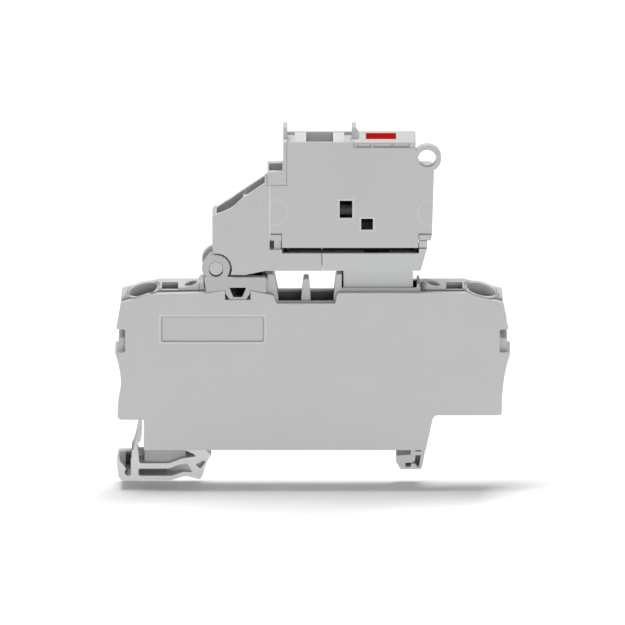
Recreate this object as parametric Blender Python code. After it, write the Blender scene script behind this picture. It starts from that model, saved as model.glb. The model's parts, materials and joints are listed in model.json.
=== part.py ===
"""Rail-mounted fuse terminal block: a housing with two spring clamps, closed by an end plate, and a
fuse holder that pivots on a bracket and carries a pull-out drawer with a 5 x 20 mm cartridge fuse.

X runs along the block, Y through its thickness with the end plate in front, and Z away from the rail.
The origin is on the rail seat, at the middle of the rail and of the thickness. Sizes are in millimetres."""

from math import cos, radians, sin, tan

import bmesh
import bpy
from mathutils import Matrix, Vector

MM = 0.001
ROUND_STEP = radians(24)
CYLINDER_SIDES = 24

# Clearances
SEAT_GAP = 0.06
RUNNING_GAP = 0.12
PIN_GAP = 0.05

# Block
PLATE_THICKNESS = 1.0
HOUSING_THICKNESS = 5.2
BACK_WALL = 0.7
RIM_GROOVE = 0.3
RIM_DEPTH = 0.55
FOOT_DEPTH = 3.4
FOOT_WEB_TOP = -1.5
TIP_DEPTH = 1.2
HOUSING_TOP = 28.7
PLATE_DROP = 0.6
SHOULDER_EDGE = 26.3
SEAT_RELIEF = 0.15
SEAT_LEFT = -16.3
SEAT_RIGHT = 14.6
LEFT_STEP_X = -28.0
LEFT_STEP_Z = 5.45
RIGHT_STEP_Z = 6.25
RIGHT_FOOT_X = 19.9
NOTCH_TOP = 21.6
NOTCH_SILL = 17.4
LUG_TOP = 19.7

# Jumper wells and the posts beside them
WELL_WIDTH = 3.9
WELL_LEFT_X = -3.2
WELL_RIGHT_X = 2.3
WELL_RIM = 27.0
WELL_FLOOR = 18.6
WELL_FRONT = 0.45
WELL_FRONT_DROP = 0.65
TONGUE_WIDTH = 2.7
POST_TOP = 31.1
TONGUE_TOP = 30.15

# Conductor entries, measured from the middle of the block's top
ENTRY_MIDDLE_X = 0.6
ENTRY_OFFSET = 28.7
ENTRY_RADIUS = 2.1
ENTRY_MOUTH_RADIUS = 2.6
ENTRY_COLLAR_RADIUS = 3.15
ENTRY_Y = -0.35
TOOL_SLOT_OFFSET = 24.1
TOOL_SLOT_WIDTH = 2.75
TOOL_SLOT_FRONT = -1.95
TOOL_SLOT_BACK = 1.15
COLLAR_HEIGHT = 0.3
SHOULDER_LEAN = radians(14)
SHOULDER_DROP = 0.8
FUNNEL_DEPTH = 3.0
TEST_HOLE_OFFSET = 20.5
TEST_HOLE_RADIUS = 1.12
TEST_COLLAR_RADIUS = 1.75
TEST_HOLE_LEAN = radians(15)
TEST_RECESS_LEFT = -18.4
TEST_RECESS_RIGHT = 18.95
CLAMP_OFFSET = 25.6
CLAMP_POCKET_WIDTH = 10.2
CLAMP_POCKET_TOP = 25.4
BAR_LEVEL = 12.6
BAR_THICKNESS = 1.0
SPRING_THICKNESS = 0.5
SPRING_LOOP_RADIUS = 1.9

# Label recess
LABEL_LEFT = -25.0
LABEL_RIGHT = -7.56
LABEL_BOTTOM = 19.4
LABEL_TOP = 23.9
LABEL_DEPTH = 0.2

# Hinge
HINGE_X = -15.69
HINGE_Z = 32.5
TRUNNION_RADIUS = 1.15
TRUNNION_PLAY = 0.35
KNUCKLE_RADIUS = 1.7
EAR_RADIUS = 2.38
EAR_THICKNESS = 1.1
BRACKET_ARM_TOP = 30.9
BRACKET_WIDTH = 6.0
BRACKET_FOOT_LEFT = -14.1
BRACKET_FOOT_RIGHT = -9.9
BRACKET_FOOT_DEPTH = 1.8
SNAP_TAPER = 0.7

# Fuse holder
BEAM_BOTTOM = 32.1
BEAM_TOP = 35.2
BEAM_WALL = 0.65
BEAM_SEAM_X = 2.3
BEAM_END_X = 19.0
ARM_LEFT = -16.3
ARM_RIGHT = -6.6
ARM_SHOULDER = 41.9
ARM_PEAK = 47.9
ARM_TIP = -7.05
RECESS_RIB_X = -11.1
RECESS_RIB_TOP = 44.0
ARM_REAR_PEAK = 47.5
TONGUE_LENGTH = 1.0
TONGUE_HALF = 1.6
ARM_WALL = 0.75
LATCH_Z = 37.4
PLUG_LEFT = 5.9
PLUG_RIGHT = 17.7
PLUG_BOTTOM = 24.6
PLUG_WIDTH = 3.7
PLUG_Y = 0.3
PLUG_GAP = 0.3
PLUG_SWING_GAP = 0.6
BLADE_BOTTOM = 21.3
BLADE_WIDTH = 2.0
BLADE_THICKNESS = 0.8
BLADE_LEFT_X = 8.4
BLADE_RIGHT_X = 14.6
STRIP_THICKNESS = 0.4
STRIP_WIDTH = 4.2
STRIP_LEVEL = 33.8

# Drawer
DRAWER_BOTTOM = 36.2
DRAWER_TOP = 55.0
DRAWER_RIGHT = 20.9
DRAWER_SKIN = 0.4
DRAWER_WALL = 0.7
CORNER_LEFT = -4.5
CORNER_LEVEL = 38.8
LID_GAP = 1.4
COLUMN_LEFT = -4.3
COLUMN_RIGHT = -3.66
LENS_BLOCK_LEFT = 7.6
LENS_BLOCK_RIGHT = 18.1
LENS_STRIP = 1.0
TAB_TOP = 57.1
TAB_WIDTH = 0.7
TAB_FRONT = -1.3
TAB_BACK = 1.6
POCKET_LEFT = -6.98
POCKET_TOP = 49.7
CORNER_GAP = 0.3
PANEL_DEPTH = 0.18
EYE_X = 20.05
EYE_Z = 52.1
EYE_OUTER = 2.37
EYE_INNER = 1.53
EYE_THICKNESS = 1.3
MARKER_FLOOR = 52.4
MARKER_BACK = 2.6
LENS_LEFT = 9.7
LENS_RIGHT = 14.8
LENS_FRONT = -1.3
LENS_BACK = 2.1
BOARD_FRONT = 1.4
BOARD_TOP = 51.6
LEAD_TOP = 49.0

# Cartridge fuse
FUSE_X = 7.35
FUSE_Z = 42.2
FUSE_LENGTH = 20.0
CAP_RADIUS = 2.6
FUSE_GAP = 0.1
CAP_LENGTH = 5.0
CAP_WALL = 0.2
GLASS_WALL = 0.6
CRADLE_OFFSET = 4.4
FUSE_WIRE_RADIUS = 0.12

# Levels worked out from the sizes above
BLOCK_FRONT = -(PLATE_THICKNESS + HOUSING_THICKNESS) / 2
HOUSING_BACK = BLOCK_FRONT + PLATE_THICKNESS + HOUSING_THICKNESS
HOUSING_FRONT = BLOCK_FRONT + PLATE_THICKNESS + SEAT_GAP
CAVITY_BACK = HOUSING_BACK - BACK_WALL
PLATE_TOP = HOUSING_TOP - PLATE_DROP
HOLDER_WIDTH = 2 * (CAP_RADIUS + FUSE_GAP + DRAWER_SKIN)
HOLDER_FRONT = -HOLDER_WIDTH / 2
HOLDER_BACK = HOLDER_WIDTH / 2
COVER_BACK = HOLDER_FRONT + DRAWER_SKIN
CHANNEL_HALF = HOLDER_WIDTH / 2 - BEAM_WALL
CHANNEL_LEFT = -4.2
LID_LEVEL = FUSE_Z + CAP_RADIUS + LID_GAP
LID_STEP = LID_LEVEL + 1.1
RIGHT_TAB_LEFT = LENS_BLOCK_LEFT - 0.3
LAMP_ROOM_LEFT = LENS_BLOCK_LEFT + 0.6
LAMP_ROOM_RIGHT = LENS_BLOCK_RIGHT - 0.5 - DRAWER_WALL
LEAD_LEFT = LENS_BLOCK_LEFT + 1.4
LEAD_RIGHT = LENS_BLOCK_RIGHT - 2.2
FUSE_LEFT = FUSE_X - FUSE_LENGTH / 2
FUSE_RIGHT = FUSE_X + FUSE_LENGTH / 2


def outline(*corners):
    """A closed outline. A corner is (x, z), or (x, z, r) where it is rounded with radius r."""
    points = []
    for index, corner in enumerate(corners):
        here = Vector(corner[:2])
        radius = corner[2] if len(corner) > 2 else 0.0
        if not radius:
            points.append(here)
            continue
        before = Vector(corners[index - 1][:2]) - here
        after = Vector(corners[(index + 1) % len(corners)][:2]) - here
        half = before.angle(after) / 2
        reach = min(radius / tan(half), 0.49 * min(before.length, after.length))
        before.normalize()
        after.normalize()
        centre = here + (before + after).normalized() * (reach / cos(half))
        start = here + before * reach - centre
        sweep = start.angle_signed(here + after * reach - centre)
        steps = max(1, round(abs(sweep) / ROUND_STEP))
        for step in range(steps + 1):
            points.append(centre + turned(start, -sweep * step / steps))
    return points


def turned(vector, angle):
    """A flat vector turned anticlockwise."""
    x, z = vector
    return Vector((x * cos(angle) - z * sin(angle), x * sin(angle) + z * cos(angle)))


def arc(centre, radius, first, last, steps):
    """Points on an arc, from one angle to another in degrees."""
    angles = [radians(first + (last - first) * step / steps) for step in range(steps + 1)]
    return [(centre[0] + radius * cos(a), centre[1] + radius * sin(a)) for a in angles]


def bow(start, end, sag, steps=5):
    """Points from start to end on a shallow bow, which stands off to the left of the way by sag."""
    start, end = Vector(start), Vector(end)
    way = end - start
    side = Vector((-way.y, way.x)).normalized()
    shares = [step / steps for step in range(steps + 1)]
    return [tuple(start + way * t + side * sag * 4 * t * (1 - t)) for t in shares]


def add_object(name, bm):
    """An object from a mesh in millimetres, with its faces pointing out."""
    bmesh.ops.recalc_face_normals(bm, faces=bm.faces)
    bmesh.ops.scale(bm, vec=(MM, MM, MM), verts=bm.verts)
    mesh = bpy.data.meshes.new(name)
    bm.to_mesh(mesh)
    bm.free()
    obj = bpy.data.objects.new(name, mesh)
    bpy.context.scene.collection.objects.link(obj)
    return obj


def extruded(name, corners, way):
    """A flat face, drawn out along a vector."""
    bm = bmesh.new()
    face = bm.faces.new([bm.verts.new(corner) for corner in corners])
    grown = bmesh.ops.extrude_face_region(bm, geom=[face])
    verts = [item for item in grown["geom"] if isinstance(item, bmesh.types.BMVert)]
    bmesh.ops.translate(bm, vec=way, verts=verts)
    return add_object(name, bm)


def prism(name, points, front, back):
    """An outline in X and Z, extruded along Y."""
    return extruded(name, [(x, front, z) for x, z in points], (0, back - front, 0))


def ridge(name, points, left, right):
    """An outline in Y and Z, extruded along X."""
    return extruded(name, [(left, y, z) for y, z in points], (right - left, 0, 0))


def block(name, left, right, front, back, bottom, top):
    """A box between two planes on each axis."""
    return prism(name, [(left, bottom), (right, bottom), (right, top), (left, top)], front, back)


def cone(name, centre, direction, length, radius, end_radius=None, sides=CYLINDER_SIDES):
    """A cylinder or a cone that starts at centre and runs along direction."""
    way = Vector(direction).normalized()
    place = Matrix.Translation(Vector(centre) + way * length / 2)
    place = place @ Vector((0, 0, 1)).rotation_difference(way).to_matrix().to_4x4()
    bm = bmesh.new()
    bmesh.ops.create_cone(
        bm,
        cap_ends=True,
        segments=sides,
        radius1=radius,
        radius2=radius if end_radius is None else end_radius,
        depth=length,
        matrix=place,
    )
    return add_object(name, bm)


def combine(target, tool, operation):
    """Join or cut with a helper, which is left out of renders."""
    tool.name = f"{target.name}_{operation.lower()}"
    tool.hide_render = True
    tool.display_type = "WIRE"
    modifier = target.modifiers.new(operation.title(), "BOOLEAN")
    modifier.operation = operation
    modifier.solver = "EXACT"
    modifier.object = tool


def join(target, *tools):
    for tool in tools:
        combine(target, tool, "UNION")


def cut(target, *tools):
    for tool in tools:
        combine(target, tool, "DIFFERENCE")


def finish(obj, colour, roughness, metallic=0.0, alpha=1.0):
    """Give a piece its own material, and shade its round faces smooth."""
    material = bpy.data.materials.new(obj.name)
    material.use_nodes = True
    shader = material.node_tree.nodes["Principled BSDF"]
    shader.inputs["Base Color"].default_value = (*colour, 1.0)
    shader.inputs["Roughness"].default_value = roughness
    shader.inputs["Metallic"].default_value = metallic
    shader.inputs["Alpha"].default_value = alpha
    obj.data.materials.append(material)
    obj.data.shade_smooth()
    obj.data.set_sharp_from_angle(angle=radians(30))
    return obj


def mirrored(x):
    """The same place on the other half of the block."""
    return 2 * ENTRY_MIDDLE_X - x


def side_left(lug, inset=0.0):
    """The left end of the block from its foot step up to the shoulder, with a lug in its notch."""
    return [
        (LEFT_STEP_X, LEFT_STEP_Z),
        (-32.5, LEFT_STEP_Z, 0.8),
        *bow((-32.35, 7.0), (-32.8, NOTCH_SILL), -0.75),
        (-32.3, NOTCH_SILL + 0.05),
        (-32.2, lug + 0.05, 0.15),
        (-31.1, lug + 0.1, 0.35),
        (-31.1, NOTCH_TOP, 0.35),
        (-32.6 + inset, NOTCH_TOP + 0.1, 0.1),
    ]


def side_right(lug, inset=0.0):
    """The right end of the block from the shoulder down to its foot, with a lug in its notch."""
    return [
        (33.9 - inset, NOTCH_TOP + 0.1, 0.1),
        (32.4, NOTCH_TOP, 0.35),
        (32.4, lug + 0.1, 0.35),
        (33.65, lug + 0.05, 0.15),
        (33.75, NOTCH_SILL + 0.05),
        *bow((34.2, NOTCH_SILL), (32.8, 7.3), -0.4),
        (32.8, RIGHT_STEP_Z, 0.8),
        (21.2, RIGHT_STEP_Z, 0.9),
        (RIGHT_FOOT_X, 0.0),
    ]


def plate_outline():
    foot_left = BRACKET_FOOT_LEFT - SEAT_GAP
    foot_right = BRACKET_FOOT_RIGHT + SEAT_GAP
    foot_floor = HOUSING_TOP - BRACKET_FOOT_DEPTH
    return outline(
        (LEFT_STEP_X, 0.0),
        *side_left(NOTCH_SILL),
        (-31.8, SHOULDER_EDGE, 0.2),
        (-27.0, PLATE_TOP - 0.2, 0.5),
        (-17.1, PLATE_TOP),
        (-14.5, PLATE_TOP + 0.45),
        (foot_left, PLATE_TOP + 0.45),
        (foot_left, foot_floor),
        (foot_right, foot_floor),
        (foot_right, PLATE_TOP + 0.45),
        (-6.0, PLATE_TOP - 0.4, 0.3),
        (-5.4, WELL_RIM - 0.8, 0.2),
        (4.5, WELL_RIM - 0.8, 0.2),
        (4.9, PLATE_TOP, 0.3),
        (26.6, PLATE_TOP, 0.5),
        (33.0, SHOULDER_EDGE, 0.2),
        (33.0, 24.7),
        *side_right(NOTCH_SILL),
    )


def housing_outline():
    return outline(
        (SEAT_LEFT, 0.0),
        (SEAT_LEFT, SEAT_RELIEF),
        (LEFT_STEP_X, SEAT_RELIEF),
        *side_left(LUG_TOP, 0.35),
        (-31.6, 27.1, 0.2),
        (-25.2, HOUSING_TOP, 0.6),
        (-18.7, HOUSING_TOP),
        (-18.35, HOUSING_TOP + 0.7, 0.15),
        (-17.8, HOUSING_TOP + 0.8, 0.15),
        (-17.55, PLATE_TOP),
        (-14.5, PLATE_TOP + 0.4),
        (-7.15, PLATE_TOP),
        (-6.95, POST_TOP, 0.3),
        (-5.95, POST_TOP, 0.3),
        (WELL_LEFT_X - WELL_WIDTH / 2, WELL_RIM),
        (-1.2, WELL_RIM),
        (-0.85, TONGUE_TOP, 0.4),
        (0.05, TONGUE_TOP, 0.4),
        (0.3, WELL_RIM),
        (WELL_RIGHT_X + WELL_WIDTH / 2, WELL_RIM),
        (4.75, POST_TOP, 0.3),
        (PLUG_LEFT - PLUG_GAP, POST_TOP, 0.1),
        (PLUG_LEFT - PLUG_GAP, HOUSING_TOP),
        (PLUG_RIGHT + PLUG_SWING_GAP, HOUSING_TOP),
        (PLUG_RIGHT + PLUG_SWING_GAP + 0.1, HOUSING_TOP + 0.7, 0.1),
        (PLUG_RIGHT + PLUG_SWING_GAP + 0.4, HOUSING_TOP + 0.6, 0.1),
        (PLUG_RIGHT + PLUG_SWING_GAP + 0.55, HOUSING_TOP),
        (26.3, HOUSING_TOP, 0.6),
        (32.8, 27.0, 0.2),
        (33.0, 24.7),
        *side_right(LUG_TOP, 0.25),
        (RIGHT_FOOT_X, SEAT_RELIEF),
        (SEAT_RIGHT, SEAT_RELIEF),
        (SEAT_RIGHT, 0.0),
    )


def left_foot():
    """The snap foot that hooks under the rail, on its springy arm."""
    foot = prism(
        "left_foot",
        outline(
            (-32.3, -1.75, 0.2),
            (-32.55, -3.0),
            (-32.2, -5.8, 0.8),
            (-23.6, -5.8, 1.5),
            (-20.9, -4.95, 1.0),
            (-18.4, -5.6, 0.4),
            *bow((-17.9, -4.6), (-16.55, -1.2), 0.2, 4),
            (-17.4, -0.35, 0.3),
            (-30.0, -0.35),
            (-30.0, -1.75),
        ),
        HOUSING_FRONT,
        HOUSING_BACK,
    )
    arm = prism(
        "foot_arm",
        [
            *bow((-28.8, LEFT_STEP_Z + 0.6), (-30.05, -0.9), 0.35),
            (-30.05, -1.8),
            (-29.0, -1.8),
            *bow((-29.0, 0.4), (-28.35, 3.2), -0.25, 3),
            (-28.3, LEFT_STEP_Z + 0.6),
        ],
        HOUSING_FRONT,
        HOUSING_BACK,
    )
    hook_room = outline(
        (-32.1, -1.0),
        (-32.1, -2.25),
        (-31.0, -3.7, 0.2),
        (-31.35, -4.3, 0.3),
        (-31.0, -4.95, 0.3),
        (-30.2, -4.95, 0.2),
        (-30.2, -1.0),
    )
    upper_room = outline(
        (-29.0, 1.0),
        (-28.8, -2.72, 0.4),
        (-23.7, -2.72, 1.5),
        (-21.4, -1.8, 1.5),
        (-19.1, -1.5, 0.15),
        (-19.4, -1.1, 0.15),
        (-21.3, -0.2),
        (-21.3, 1.0),
    )
    lower_room = outline(
        (-28.9, -3.65, 0.3),
        (-23.7, -3.65, 1.5),
        (-22.0, -2.95, 1.5),
        (-20.6, -2.75, 0.2),
        (-19.75, -4.3, 0.15),
        (-21.3, -4.25, 1.0),
        (-23.3, -4.95, 1.0),
        (-28.9, -4.95, 0.3),
    )
    tip_room = outline((-19.2, -2.9, 0.15), (-17.8, -2.15, 0.15), (-17.55, -2.5, 0.1), (-18.45, -3.7, 0.2))
    pockets = [hook_room, upper_room, lower_room]
    web_front = HOUSING_FRONT + FOOT_DEPTH - 0.1
    cut(
        foot,
        block("web_top", -29.0, -21.3, web_front, HOUSING_BACK + 1, FOOT_WEB_TOP, 1.0),
        prism("tip_room", tip_room, HOUSING_FRONT - 1, HOUSING_FRONT + TIP_DEPTH),
    )
    return foot, arm, pockets


def right_foot():
    """The fixed foot with the slot for the rail's other flange."""
    foot = prism(
        "right_foot",
        outline(
            (21.0, RIGHT_STEP_Z - 1.0),
            (RIGHT_FOOT_X, 0.0),
            (19.2, -3.75, 0.5),
            (15.6, -3.75, 0.5),
            (14.85, -2.4, 0.2),
            (14.85, -1.35, 0.15),
            (17.35, -1.15, 0.2),
            (17.35, SEAT_RELIEF + 1.0),
        ),
        HOUSING_FRONT,
        HOUSING_BACK,
    )
    slit = outline((18.15, -0.3), (19.1, -0.3), (19.1, -0.6), (18.15, -0.6))
    bend_room = outline(
        (18.15, -1.26),
        (19.06, -1.26),
        (18.76, -3.37, 0.1),
        (18.46, -3.37, 0.1),
        (18.15, -2.85, 0.2),
        (17.8, -2.68, 0.2),
        (17.45, -2.85, 0.2),
        (17.3, -3.37, 0.1),
        (16.46, -3.37, 0.1),
        (16.4, -2.62, 0.1),
        (17.6, -2.58, 0.3),
        (18.1, -2.2, 0.3),
    )
    pockets = [slit, bend_room]
    return foot, pockets


def clamp_pocket(centre_x, outward):
    """The chamber of one clamp, lower at its outer end, where the wire comes in."""
    outer = centre_x + outward * CLAMP_POCKET_WIDTH / 2
    inner = centre_x - outward * CLAMP_POCKET_WIDTH / 2
    return outline(
        (outer, BAR_LEVEL - 5.2, 0.5),
        (inner, BAR_LEVEL - 5.2, 0.5),
        (inner, CLAMP_POCKET_TOP, 0.8),
        (outer, CLAMP_POCKET_TOP - 1.2, 0.8),
    )


def base_housing():
    housing = prism("base_housing", housing_outline(), HOUSING_FRONT, HOUSING_BACK)
    foot, arm, left_pockets = left_foot()
    hook, right_pockets = right_foot()
    join(housing, foot, arm, hook)
    for index, points in enumerate(left_pockets + right_pockets):
        cut(housing, prism(f"foot_pocket_{index}", points, HOUSING_FRONT - 1, HOUSING_FRONT + FOOT_DEPTH))
    for side, outward in (("left", -1), ("right", 1)):
        pocket = clamp_pocket(ENTRY_MIDDLE_X + outward * CLAMP_OFFSET, outward)
        cut(housing, prism(f"clamp_pocket_{side}", pocket, HOUSING_FRONT - 1, CAVITY_BACK))
        cut_entry(housing, side, outward)
    cut_channels(housing)
    cut_wells(housing)
    cut_plug_pocket(housing)
    cut_bracket_seat(housing)
    cut_rim(housing)
    return finish(housing, (0.50, 0.50, 0.50), 0.55)


def cut_entry(housing, side, outward):
    """The wire funnel in its collar, the slot for the release tool and the test hole at one end."""
    wire_x = ENTRY_MIDDLE_X + outward * ENTRY_OFFSET
    lean = Vector((outward * sin(SHOULDER_LEAN), 0, cos(SHOULDER_LEAN)))
    mouth = Vector((wire_x, ENTRY_Y, HOUSING_TOP - SHOULDER_DROP)) + lean * COLLAR_HEIGHT
    collar = cone(f"entry_collar_{side}", mouth - lean * 2, lean, 2, ENTRY_COLLAR_RADIUS, sides=32)
    cut(collar, block("collar_front", wire_x - 5, wire_x + 5, -9, HOUSING_FRONT, 20, 32))
    join(housing, collar)
    throat = mouth - lean * FUNNEL_DEPTH
    throat_radius = ENTRY_MOUTH_RADIUS - 0.05
    cut(
        housing,
        cone(f"funnel_{side}", mouth + lean, -lean, FUNNEL_DEPTH + 1, ENTRY_MOUTH_RADIUS, sides=32),
        cone(f"throat_{side}", throat + lean * 0.1, -lean, 1.2, throat_radius, ENTRY_RADIUS, sides=32),
        cone(f"wire_hole_{side}", throat - lean, -lean, 2.0, ENTRY_RADIUS - 0.2, sides=32),
    )
    slot_x = ENTRY_MIDDLE_X + outward * TOOL_SLOT_OFFSET
    cut(
        housing,
        block(
            f"tool_slot_{side}",
            slot_x - TOOL_SLOT_WIDTH / 2,
            slot_x + TOOL_SLOT_WIDTH / 2,
            TOOL_SLOT_FRONT,
            TOOL_SLOT_BACK,
            CLAMP_POCKET_TOP - 2.0,
            HOUSING_TOP + 1,
        ),
    )
    hole_x = ENTRY_MIDDLE_X + outward * TEST_HOLE_OFFSET
    recess_x = TEST_RECESS_RIGHT if outward > 0 else TEST_RECESS_LEFT
    axis = Vector((outward * sin(TEST_HOLE_LEAN), 0, cos(TEST_HOLE_LEAN)))
    rim = Vector((hole_x, ENTRY_Y, HOUSING_TOP))
    cut(
        housing,
        block(
            f"test_recess_{side}",
            min(hole_x, recess_x),
            max(hole_x, recess_x),
            TOOL_SLOT_FRONT,
            TOOL_SLOT_BACK,
            HOUSING_TOP - 0.9,
            HOUSING_TOP + 2,
        ),
    )
    join(housing, cone(f"test_collar_{side}", rim - axis, axis, 1 + COLLAR_HEIGHT, TEST_COLLAR_RADIUS))
    cut(housing, cone(f"test_hole_{side}", rim + axis, -axis, 4.2, TEST_HOLE_RADIUS))


def cut_channels(housing):
    """The channel that both current bars lie in, and the cored-out floor."""
    left = mirrored(ENTRY_MIDDLE_X + CLAMP_OFFSET) + CLAMP_POCKET_WIDTH / 2 - 0.5
    right = ENTRY_MIDDLE_X + CLAMP_OFFSET - CLAMP_POCKET_WIDTH / 2 + 0.5
    channel = outline(
        (left, BAR_LEVEL - 1.0),
        (right, BAR_LEVEL - 1.0),
        (right, BAR_LEVEL + BAR_THICKNESS + 1.0),
        (left, BAR_LEVEL + BAR_THICKNESS + 1.0),
    )
    cut(housing, prism("bar_channel", channel, HOUSING_FRONT - 1, CAVITY_BACK))
    core = outline((-27.0, 1.1, 0.4), (-3.0, 1.1, 0.4), (-3.0, 6.4, 0.4), (-27.0, 6.4, 0.4))
    cut(housing, prism("core_left", core, HOUSING_FRONT - 1, CAVITY_BACK))
    core = outline((-2.2, 1.1, 0.4), (19.0, 1.1, 0.4), (19.9, 6.4, 0.4), (-2.2, 6.4, 0.4))
    cut(housing, prism("core_right", core, HOUSING_FRONT - 1, CAVITY_BACK))
    for index, (core_left, core_right) in enumerate(((-18.6, -6.2), (-5.1, 4.6))):
        core = outline(
            (core_left, BAR_LEVEL + 2.6, 0.4),
            (core_right, BAR_LEVEL + 2.6, 0.4),
            (core_right, WELL_FLOOR - 1.0 if index else 25.6, 0.4),
            (core_left, WELL_FLOOR - 1.0 if index else 25.6, 0.4),
        )
        cut(housing, prism(f"core_upper_{index}", core, HOUSING_FRONT - 1, CAVITY_BACK))


def cut_wells(housing):
    """The two wells that take jumper legs, with a low front wall, and the tongue between them."""
    for name, centre_x in (("left", WELL_LEFT_X), ("right", WELL_RIGHT_X)):
        well = block(
            f"jumper_well_{name}",
            centre_x - WELL_WIDTH / 2,
            centre_x + WELL_WIDTH / 2,
            HOUSING_FRONT + WELL_FRONT,
            CAVITY_BACK,
            WELL_FLOOR,
            WELL_RIM + 1,
        )
        cut(housing, well)
    left = WELL_LEFT_X - WELL_WIDTH / 2
    right = WELL_RIGHT_X + WELL_WIDTH / 2
    front = HOUSING_FRONT + WELL_FRONT
    sill = WELL_RIM - WELL_FRONT_DROP
    cut(
        housing,
        block("well_front_rim", left, right, HOUSING_FRONT - 1, front, sill, TONGUE_TOP + 1),
        block("tongue_rear", -1.3, 0.4, front + TONGUE_WIDTH, HOUSING_BACK + 1, WELL_RIM, TONGUE_TOP + 1),
    )


def cut_plug_pocket(housing):
    """The pocket of the plug, the corner that screens it and the contact chamber below it."""
    plug_front = PLUG_Y - PLUG_WIDTH / 2 - RUNNING_GAP
    plug_back = PLUG_Y + PLUG_WIDTH / 2 + RUNNING_GAP
    left = PLUG_LEFT - PLUG_GAP
    right = PLUG_RIGHT + PLUG_SWING_GAP
    back = plug_back + 0.1
    low = HOUSING_TOP - 1
    join(housing, block("post_return", left - 0.3, left + 0.9, back, HOUSING_BACK, low, POST_TOP))
    cut(
        housing,
        block("plug_pocket", left, right, plug_front, plug_back, PLUG_BOTTOM - 0.5, HOUSING_TOP + 4),
        block(
            "contact_chamber",
            left + 0.3,
            right - 0.4,
            HOUSING_FRONT - 1,
            CAVITY_BACK,
            BAR_LEVEL,
            PLUG_BOTTOM,
        ),
    )


def cut_bracket_seat(housing):
    """The snap opening for the bracket's foot."""
    cut(
        housing,
        block(
            "bracket_seat",
            BRACKET_FOOT_LEFT - SEAT_GAP,
            BRACKET_FOOT_RIGHT + SEAT_GAP,
            HOUSING_FRONT - 1,
            HOUSING_BACK + 1,
            HOUSING_TOP - BRACKET_FOOT_DEPTH,
            HOUSING_TOP + 1,
        ),
    )


def cut_rim(housing):
    """The groove behind the plate's upper edge at both shoulders."""
    low = PLATE_TOP - RIM_DEPTH
    shoulder = SHOULDER_EDGE - RIM_DEPTH
    top = HOUSING_TOP + 3
    left = [
        (-33.5, shoulder - 0.5),
        (-31.8, shoulder),
        (-27.0, low - 0.2),
        (-17.7, low),
        (-17.7, top),
        (-33.5, top),
    ]
    right = [
        (TEST_RECESS_RIGHT, low),
        (26.6, low),
        (33.0, shoulder),
        (34.5, shoulder - 0.4),
        (34.5, top),
        (TEST_RECESS_RIGHT, top),
    ]
    for name, points in (("left", left), ("right", right)):
        cut(housing, prism(f"rim_{name}", points, HOUSING_FRONT - 1, HOUSING_FRONT + RIM_GROOVE))


def end_plate():
    """The plate that closes the housing in front, with a bare recess for a label."""
    plate = prism("end_plate", plate_outline(), BLOCK_FRONT, BLOCK_FRONT + PLATE_THICKNESS)
    label = outline(
        (LABEL_LEFT, LABEL_BOTTOM, 0.6),
        (LABEL_RIGHT, LABEL_BOTTOM, 0.6),
        (LABEL_RIGHT, LABEL_TOP, 0.6),
        (LABEL_LEFT, LABEL_TOP, 0.6),
    )
    cut(plate, prism("label_recess", label, BLOCK_FRONT - 1, BLOCK_FRONT + LABEL_DEPTH))
    return finish(plate, (0.50, 0.50, 0.50), 0.55)


def hinge_bracket():
    """The clevis that snaps into the housing and carries the fuse holder's trunnions."""
    half = BRACKET_WIDTH / 2
    lift = SEAT_GAP
    foot_floor = HOUSING_TOP - BRACKET_FOOT_DEPTH + lift
    profile = outline(
        *arc((HINGE_X, HINGE_Z), EAR_RADIUS, 205, -38, 14),
        (-12.6, BRACKET_ARM_TOP, 0.4),
        (-6.98 - lift, BRACKET_ARM_TOP, 0.5),
        (-7.15 - lift, PLATE_TOP + lift, 0.3),
        (-7.6, PLATE_TOP + lift),
        (BRACKET_FOOT_RIGHT, PLATE_TOP + 0.45 + lift),
        (BRACKET_FOOT_RIGHT, foot_floor + 1.1),
        (BRACKET_FOOT_RIGHT - SNAP_TAPER, foot_floor, 0.2),
        (BRACKET_FOOT_LEFT + SNAP_TAPER, foot_floor, 0.2),
        (BRACKET_FOOT_LEFT, foot_floor + 1.1),
        (BRACKET_FOOT_LEFT, PLATE_TOP + 0.45 + lift),
        (-17.3, PLATE_TOP + lift),
    )
    bracket = prism("hinge_bracket", profile, -half, half)
    slot = half - EAR_THICKNESS
    through = 2 * half + 2
    bore = TRUNNION_RADIUS + PIN_GAP
    room = EAR_RADIUS + RUNNING_GAP
    hollow = outline(
        (BRACKET_FOOT_LEFT + 0.65, foot_floor + 2.1, 0.15),
        (BRACKET_FOOT_LEFT + 0.65 + SNAP_TAPER, foot_floor + 0.4, 0.15),
        (BRACKET_FOOT_RIGHT - 0.65 - SNAP_TAPER, foot_floor + 0.4, 0.15),
        (BRACKET_FOOT_RIGHT - 0.65, foot_floor + 2.1, 0.15),
    )
    cut(
        bracket,
        cone("knuckle_room", (HINGE_X, -slot, HINGE_Z), (0, 1, 0), 2 * slot, room, sides=32),
        block("swing_room", -19, -12.8, -slot, slot, HINGE_Z - 0.9, HINGE_Z + 3),
        block("arm_hollow", -12.2, -7.9, -slot, slot, foot_floor + 2.7, BRACKET_ARM_TOP + 1),
        cone("trunnion_bore", (HINGE_X, -half - 1, HINGE_Z), (0, 1, 0), through, bore),
        cone("trunnion_play", (HINGE_X, -half - 1, HINGE_Z - TRUNNION_PLAY), (0, 1, 0), through, bore),
        prism("snap_hollow", hollow, -half - 1, half - EAR_THICKNESS),
        block("ear_nick", -18.5, -17.4, -half - 1, -half + 0.5, 30.95, 31.3),
    )
    return finish(bracket, (0.50, 0.50, 0.50), 0.5)


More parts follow.
